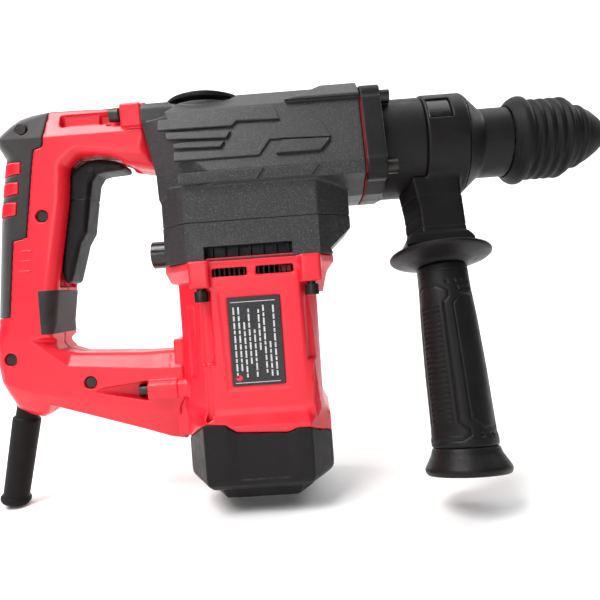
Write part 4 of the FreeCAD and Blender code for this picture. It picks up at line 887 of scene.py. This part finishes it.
def add_plates(name, outlines, place, thickness):
    piece = prism_mesh(name, outlines, place, thickness, 0.55)
    return finish_piece(piece, "machine", CASTING, "black_casting")


# ---------------------------------------------------------------- front cover

COVER_SECTION = [(y, min(z, 267)) for y, z in SECTION]
COVER_SCREWS = [(24.0, 256.0), (39.5, 208.5)]


def cover_field(x, y, z):
    """The bearing cover: a flange with four screw bosses, a barrel, the clamp's neck, a cone and the nose."""
    away = np.hypot(y, z - SPINDLE)
    screws = np.minimum(*[np.hypot(np.abs(y) - sy, z - sz) for sy, sz in COVER_SCREWS])
    flange = rounded_min(outline_distance(COVER_SECTION, y, z), screws - 7.5, 1.5)
    flange = rounded_max(flange, np.maximum(78.7 - x, x - 91.0), 0.6)
    solid = outline_distance([(78, 0), (78, 32.4), (118.5, 32.4), (118.5, 27.6), (145.4, 27.6), (145.4, 32.8),
                              (155.4, 24.0), (157.4, 22.5), (176, 22.5), (176, 0)], x, away)
    solid = rounded_max(solid, 79.2 - x, 0.1)
    body = rounded_min(flange, solid, 1.6)
    body = np.maximum(body, -np.maximum(away - 22.0, x - 140.0))
    body = np.maximum(body, -(away - 17.2))
    body = np.maximum(body, -(screws - 2.6))
    return np.maximum(body, -np.maximum(screws - 4.6, 88.6 - x))


def front_cover():
    piece = surface_mesh("bearing_cover", cover_field, (78.6, -48, 191), (176, 48, 268), 0.75)
    finish_piece(piece, "machine", COVER, "black_casting", "front_cover")


# ---------------------------------------------------------------- rating plate

def rating_marks():
    """Generic upright printed bars on the rating plate and one small round mark, with no lettering."""
    left = PLATE_X - 14
    rows = []
    lengths = [(88, 131), (92, 131), (88, 124), (96, 131), (88, 118), (104, 131), (90, 131), (88, 110),
               (88, 131)]
    for k, (low, high) in enumerate(lengths):
        level = low
        dash = 0
        while level < high - 2:
            long = (3.1, 4.4, 2.2, 3.8)[(dash + k) % 4]
            rows.append((left + 1.0 + 3.0 * k, level, left + 2.0 + 3.0 * k, min(level + long, high)))
            level += long + 0.9
            dash += 1
    rows += [(left, 133.4, left + 27, 133.8), (left, 84.6, left + 27, 85.0)]
    ink_bars("plate_bars", rows, INK)
    mark = []
    for k in range(7):
        reach = 0.9 * math.sqrt(max(4.0 - (0.6 * k - 1.8) ** 2, 0.1))
        mark.append((left + 0.3 + 0.6 * k, 87.8 - reach, left + 0.9 + 0.6 * k, 87.8 + reach))
    ink_bars("plate_red_mark", mark, RED_INK)


def ink_bars(name, bars, material, proud=0.86):
    points, faces = [], []
    front = -42.3 + 0.2 - proud + 0.02
    for a, low, b, high in bars:
        add_box(points, faces, (a, front, low), (b, front + 0.08, high))
    piece = mesh_object(name, points, faces)
    flat_shade(piece)
    return finish_piece(piece, "machine", material, "")


# ---------------------------------------------------------------- turned pieces with relief

def turned(name, profile, steps, place, relief=None):
    """A turned solid round a bore: profile is its section as a closed run of (radius, height)."""
    angles = np.arange(steps) * (2 * math.pi / steps)
    radius = np.array([p[0] for p in profile])[:, None] * np.ones(steps)
    height = np.array([p[1] for p in profile])[:, None] * np.ones(steps)
    if relief is not None:
        radius = radius + relief(np.degrees(angles)[None, :], height, radius)
    points = np.stack([radius * np.sin(angles), -radius * np.cos(angles), height], axis=-1)
    count = len(profile)
    rows = np.arange(count)[:, None]
    columns = np.arange(steps)[None, :]
    following = (columns + 1) % steps
    below = (rows + 1) % count
    faces = np.stack([rows * steps + columns, rows * steps + following, below * steps + following,
                      below * steps + columns], axis=-1)
    return mesh_object(name, place(points.reshape(-1, 3)), faces.reshape(-1, 4))


def refine(points, step, keep=0.0):
    """Splits a profile into short steps; with keep, its corners are cut back by that much first."""
    if keep:
        cut = [points[0]]
        for before, here, after in zip(points, points[1:], points[2:]):
            for other in (before, after):
                run = math.hypot(other[0] - here[0], other[1] - here[1])
                share = min(keep / run, 0.45)
                cut.append((here[0] + (other[0] - here[0]) * share, here[1] + (other[1] - here[1]) * share))
        points = cut + [points[-1]]
    made = []
    for (r0, z0), (r1, z1) in zip(points, points[1:]):
        count = max(1, int(math.hypot(r1 - r0, z1 - z0) / step))
        made += [(r0 + (r1 - r0) * k / count, z0 + (z1 - z0) * k / count) for k in range(count)]
    return made + [points[-1]]


def side_handle_place(points):
    """From the side handle's own frame, upright below the spindle axis, to its swung place."""
    c, s = math.cos(-SWING), math.sin(-SWING)
    x, y, z = points[:, 0], points[:, 1], points[:, 2]
    return np.stack([x + AUX_X, c * y - s * z, s * y + c * z + SPINDLE], axis=-1)


PANEL = [(-1, -111.7), (18, -105.8), (62, -105.8), (86, -111.7), (86, -178.7), (60, -184), (24, -184),
         (1, -178.7)]
RIB_ZONE = [(-70, -99.2), (-34, -99.2), (-8, -102.5), (-8, -107), (-20, -110.5), (-20, -180.2), (-2, -184.2),
            (-2, -187.7), (-17, -190.6), (-87, -190.6), (-102, -187.7), (-102, -184.2), (-84, -180.2),
            (-84, -110.5), (-96, -107), (-96, -102.5)]
DIMPLES = [(-8, -97.7), (9, -97.7), (27, -97.7), (44, -97.7), (14, -102.2), (29, -102.2), (45, -102.2),
           (19, -188), (40, -188), (62, -188)]
PER_DEGREE = 0.31                     # mm round the grip for each degree


def grip_relief(angle, height, radius):
    """Grooves, panels and dimples of the side grip; the pattern repeats after half a turn."""
    turn = (angle + 110.0) % 180.0 - 110.0
    u = turn * PER_DEGREE
    depth = np.zeros(np.broadcast(angle, height).shape)
    panel = outline_distance([(a * PER_DEGREE, z) for a, z in PANEL], u, height)
    zone = outline_distance([(a * PER_DEGREE, z) for a, z in RIB_ZONE], u, height)
    inner = outline_distance([(a * PER_DEGREE, z) for a, z in RIB_ZONE], u, height) + 1.3
    depth += 0.75 * np.exp(-(panel / 0.42) ** 2) + 0.30 / (1.0 + np.exp(panel / 0.22))
    depth += 0.75 * np.exp(-(zone / 0.42) ** 2) - 0.25 / (1.0 + np.exp(inner / 0.2))
    flank = np.clip((np.abs(turn + 52.0) - 19.0) / 3.0, 0.0, 1.0)
    row = (height + 111.5) / -3.0
    inside = (row > -0.4) & (row < 23.0)
    depth += np.where(inside, 0.95 * np.exp(-(((row % 1.0) - 0.5) * 3.0 / 0.55) ** 2) * (1.0 - flank), 0.0)
    for a, z in DIMPLES:
        away = np.hypot(u - a * PER_DEGREE, height - z)
        depth += 0.9 * np.clip(1.0 - (away / 1.55) ** 2, 0.0, 1.0)
    return np.where(height > -96.0, 0.0, 1.0) * -depth


def side_handle():
    grip = [(4.2, -84.8), (14.2, -84.8), (15.6, -86.2), (15.7, -89.8), (15.3, -90.3), (15.7, -90.8),
            (15.9, -100), (17.1, -120), (18.2, -152), (18.5, -180.5), (18.7, -187.5), (19.3, -189.9),
            (19.2, -193.3), (18.4, -194.5), (4.2, -194.5)]
    piece = turned("side_grip", refine(grip, 0.42), 300, side_handle_place, grip_relief)
    finish_piece(piece, "aux_grip", BLACK, "black_plastic", "aux_grip")
    flange = [(4.2, -74.8), (22, -74.9), (30.4, -75.6), (31.8, -76.4), (32, -77.6), (31.2, -78.8),
              (26.5, -80.2),
              (20.5, -81.8), (17.6, -83.2), (16.2, -84.6), (4.2, -84.6)]
    piece = turned("side_flange", refine(flange, 0.8, 0.6), 160, side_handle_place)
    finish_piece(piece, "aux_grip", BLACK, "black_plastic", "aux_flange")
    butt = [(0.6, -194.7), (18.9, -194.7), (19.3, -195.3), (20.4, -198.7), (23.6, -204.3), (24.6, -206.1),
            (24.5, -207.7), (23.4, -209.7), (15, -210.1), (0.6, -210.1)]
    piece = turned("side_butt", refine(butt, 0.8, 0.5), 160, side_handle_place)
    finish_piece(piece, "aux_grip", BLACK, "black_plastic", "aux_butt")
    clamp = surface_mesh("side_clamp", clamp_field, (-24, -35, -76), (24, 35, 35), 0.75, side_handle_place)
    finish_piece(clamp, "aux_clamp", BLACK, "black_plastic", "aux_clamp")
    plate = surface_mesh("clamp_plate", window_plate, (-5, -35, 0), (12, -3, 34), 0.5, side_handle_place)
    finish_piece(plate, "aux_clamp", GLOSS, "black_plastic")


def clamp_field(x, y, z):
    """The clamp of the side handle, upright: a ring round the neck and a stepped neck block under it."""
    low, high = -5.3, 20.9
    round_edge = np.hypot(y, z)
    ring = rounded_max(round_edge - 33.4, np.maximum(low - x, x - high), 1.2)
    neck = rounded_box(x, y, z, (-24.0, -16.8, -72), (14.9, 16.8, -20), 3.0)
    slant = -(x + 12.6) - 0.43 * (16.8 - np.abs(y)) - 0.12 * np.clip(z + 50.0, 0.0, 20.0)
    neck = rounded_max(neck, slant / 1.09, 1.0)
    for level, depth in ((-42.0, 0.5), (-47.5, 0.7), (-55.0, 0.5), (-62.0, 0.8)):
        neck = np.maximum(neck, -np.maximum(np.abs(z - level) - 0.35, -(neck + depth)))
    foot = rounded_box(x, y, z, (-24.0, -19.0, -74.4), (18.5, 19.0, -66.5), 1.6)
    slope = (np.abs(x + 2.8) - 21.0) + np.clip(z + 71.0, 0.0, None) * 0.9
    foot = rounded_max(foot, slope, 0.8)
    body = rounded_min(rounded_min(ring, neck, 3.0), foot, 1.2)
    clear = np.maximum(round_edge - 33.2, x + 5.4)
    bore = np.maximum(round_edge - 29.5, -60.0 + 0.0 * x)
    body = np.maximum(body, -np.minimum(clear, bore))
    around = np.hypot(x, y)
    stud = np.minimum(np.maximum(around - 4.1, z), np.maximum(around - 7.2, np.abs(z + 32.7) - 4.5))
    body = np.maximum(body, -stud)
    return np.maximum(body, -np.maximum(clamp_window(x, y, z), 30.8 - round_edge))


def clamp_window(x, y, z):
    """The square recess in the ring above the neck block, on the near side."""
    return rounded_box(x, y, z, (-4.0, -40, 1.8), (11.2, -3.5, 18.6), 1.0)


def window_plate(x, y, z):
    """The curved glossy plate in the recess."""
    plate = np.maximum(np.abs(np.hypot(y, z) - 31.6) - 0.7, clamp_window(x, y, z) + 0.5)
    return plate + 0.0 * x


def cord_guard():
    """The bend-relief sleeve, with a rolled lip at its open end and shallow mould lines."""
    profile = [(4.3, 2.6), (7.3, 2.6), (7.4, -12.4), (8.9, -13.4), (9.0, -14.4), (8.8, -30), (8.55, -50),
               (8.3, -67.2), (8.5, -67.8), (9.5, -68.6), (9.8, -69.6), (9.7, -70.8), (8.9, -72.2),
               (7.6, -73.2),
               (5.4, -73.4), (4.3, -72.6)]
    lean = math.atan(0.222)
    c, s = math.cos(lean), math.sin(lean)

    def place(points):
        x, y, z = points[:, 0], points[:, 1], points[:, 2]
        return np.stack([c * x + s * z - 159.1, y, -s * x + c * z + 76.5], axis=-1)

    def marks(angle, height, radius):
        flat = np.exp(-(((angle % 90.0) - 45.0) / 2.2) ** 2) * 0.25
        return -np.where((height < -15.0) & (height > -66.0) & (radius > 8.0), flat, 0.0)

    piece = turned("bend_sleeve", refine(profile, 0.5, 0.3), 144, place, marks)
    finish_piece(piece, "machine", GUARD, "black_rubber", "cord_guard")


def chuck_surface(name, profile, body, node):
    def place(points):
        x, y, z = points[:, 0], points[:, 1], points[:, 2]
        return np.stack([z, y, -x + SPINDLE], axis=-1)

    piece = turned(name, refine(profile, 0.45, 0.25), 200, place)
    return finish_piece(piece, body, DARK_RUBBER, "black_rubber", node)


def chuck():
    """The ribbed pull-back sleeve and the dust cap in front of it; profiles are (radius, X)."""
    sleeve = [(22.95, 176.2), (24.2, 176.8), (27.0, 179.4), (28.3, 181.8), (28.6, 183.4), (28.3, 185.4),
              (26.5, 187.2), (24.7, 188.8)]
    for k in range(4):
        x = 189.4 + 6.1 * k
        sleeve += [(24.5, x), (24.7, x + 0.6), (26.0, x + 2.0), (26.15, x + 3.0), (25.9, x + 4.3),
                   (24.7, x + 5.2)]
    sleeve += [(24.3, 214.6), (23.6, 214.9), (13.7, 214.9), (13.7, 209.1), (19.9, 209.1), (20.1, 187.1),
               (22.95, 186.9)]
    chuck_surface("pull_sleeve", sleeve, "chuck_sleeve", "chuck_sleeve")
    cap = [(13.7, 215.7), (21.0, 215.7), (21.5, 216.4), (21.6, 217.6), (21.2, 218.6), (20.0, 219.4),
           (19.8, 220.6),
           (20.4, 222.2), (20.2, 223.6), (18.6, 225.2), (18.0, 227.0), (16.4, 230.0), (14.2, 233.2),
           (11.8, 236.4),
           (9.4, 239.0), (8.0, 240.4), (7.0, 240.9), (5.9, 240.7), (5.8, 232.4), (13.7, 232.4)]
    chuck_surface("dust_cap", cap, "spindle", "nose_cap")


# ---------------------------------------------------------------- the whole object

def finish_cad():
    """Materials and softened edges for the CAD pieces that are shown as they are."""
    widths = {"gearbox_base": 1.2, "front_gasket": 0.25, "mode_knob": 1.3, "rear_knob": 0.8,
              "front_cover_screws": 0.35}
    small = ("motor_housing_screws", "handle_screws", "shell_screws", "rating_plate", "clamp_band",
             "aux_stud")
    widths.update((name, 0.3) for name in small)
    for name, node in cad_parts.items():
        paint(node, PAINT.get(name, STEEL))
        if name in widths:
            soften(node, widths[name])


def floor():
    """A pale floor that curves up into a backdrop."""
    profile = [(-3.0, 0.0), (1.2, 0.0)]
    profile += [(1.2 + 0.9 * math.sin(a), 0.9 - 0.9 * math.cos(a)) for a in np.linspace(0.1, math.pi / 2, 16)]
    profile += [(2.1, 4.0)]
    level = CAD_LOW[2] / MM + FOOT
    points = [(x / MM, y / MM, z / MM + level) for y, z in profile for x in (-5.0, 5.0)]
    faces = [(2 * k, 2 * k + 1, 2 * k + 3, 2 * k + 2) for k in range(len(profile) - 1)]
    piece = mesh_object("floor", points, faces)
    made = Shader("floor_white", (0.93, 0.93, 0.93), 0.6)
    made.colour(made.mix(made.noise(3.0), (0.925, 0.925, 0.925), (0.945, 0.945, 0.945)))
    paint(piece, made.material)


def area_light(name, place, aim, size, power):
    data = bpy.data.lights.new(name, "AREA")
    data.shape = "RECTANGLE"
    data.size, data.size_y = size
    data.energy = power
    light = bpy.data.objects.new(name, data)
    light.location = place
    light.rotation_euler = (Vector(aim) - Vector(place)).to_track_quat("-Z", "Y").to_euler()
    bpy.context.scene.collection.objects.link(light)


def studio():
    """A soft key above the left front, a broad top light, a weak front fill and two backdrop lights."""
    centre = (0.0, 0.0, 0.14)
    area_light("key", (-0.75, -0.75, 1.55), centre, (0.9, 0.9), 38)
    area_light("top", (0.0, 0.35, 1.9), (0.0, 0.2, 0.0), (2.4, 1.6), 24)
    area_light("front", (-0.45, -2.0, 0.5), centre, (1.0, 0.6), 10)
    area_light("backdrop_left", (-1.3, 0.5, 1.3), (-0.5, 2.1, 0.5), (0.8, 0.8), 24)
    area_light("backdrop_right", (1.3, 0.5, 1.3), (0.5, 2.1, 0.5), (0.8, 0.8), 24)
    world = bpy.data.worlds.new("studio")
    bpy.context.scene.world = world
    world.use_nodes = True
    background = world.node_tree.nodes["Background"]
    background.inputs["Color"].default_value = (1.0, 1.0, 1.0, 1.0)
    background.inputs["Strength"].default_value = 0.06
    bpy.context.scene.view_settings.view_transform = "Standard"


def camera():
    """The view: nearly square on the right side, level with the middle of the motor, and a little rolled."""
    yaw, pitch, roll = -0.0190035, -0.0196096, -0.0710056
    sy, cy, sp, cp, sr, cr = (f(a) for a in (yaw, pitch, roll) for f in (math.sin, math.cos))
    forward = Vector((sy * cp, cy * cp, sp))
    right = Vector((cy, -sy, 0.0))
    up = right.cross(forward)
    across = right * cr + up * sr
    upward = up * cr - right * sr
    turn = Matrix((across, upward, -forward)).transposed()
    data = bpy.data.cameras.new("camera")
    data.sensor_width = 36.0
    data.lens = 30.70
    data.clip_start = 0.01
    view = bpy.data.objects.new("camera", data)
    view.matrix_world = Matrix.Translation((0.039075, -0.349705, 0.128324)) @ turn.to_4x4()
    bpy.context.scene.collection.objects.link(view)
    bpy.context.scene.camera = view


finish_cad()
rear_handle()
trigger()
grip_pad()
grip_marks()
motor()
gear_housing()
louvres_and_shade_plate()
relief()
front_cover()
rating_marks()
side_handle()
cord_guard()
chuck()
floor()
studio()
camera()
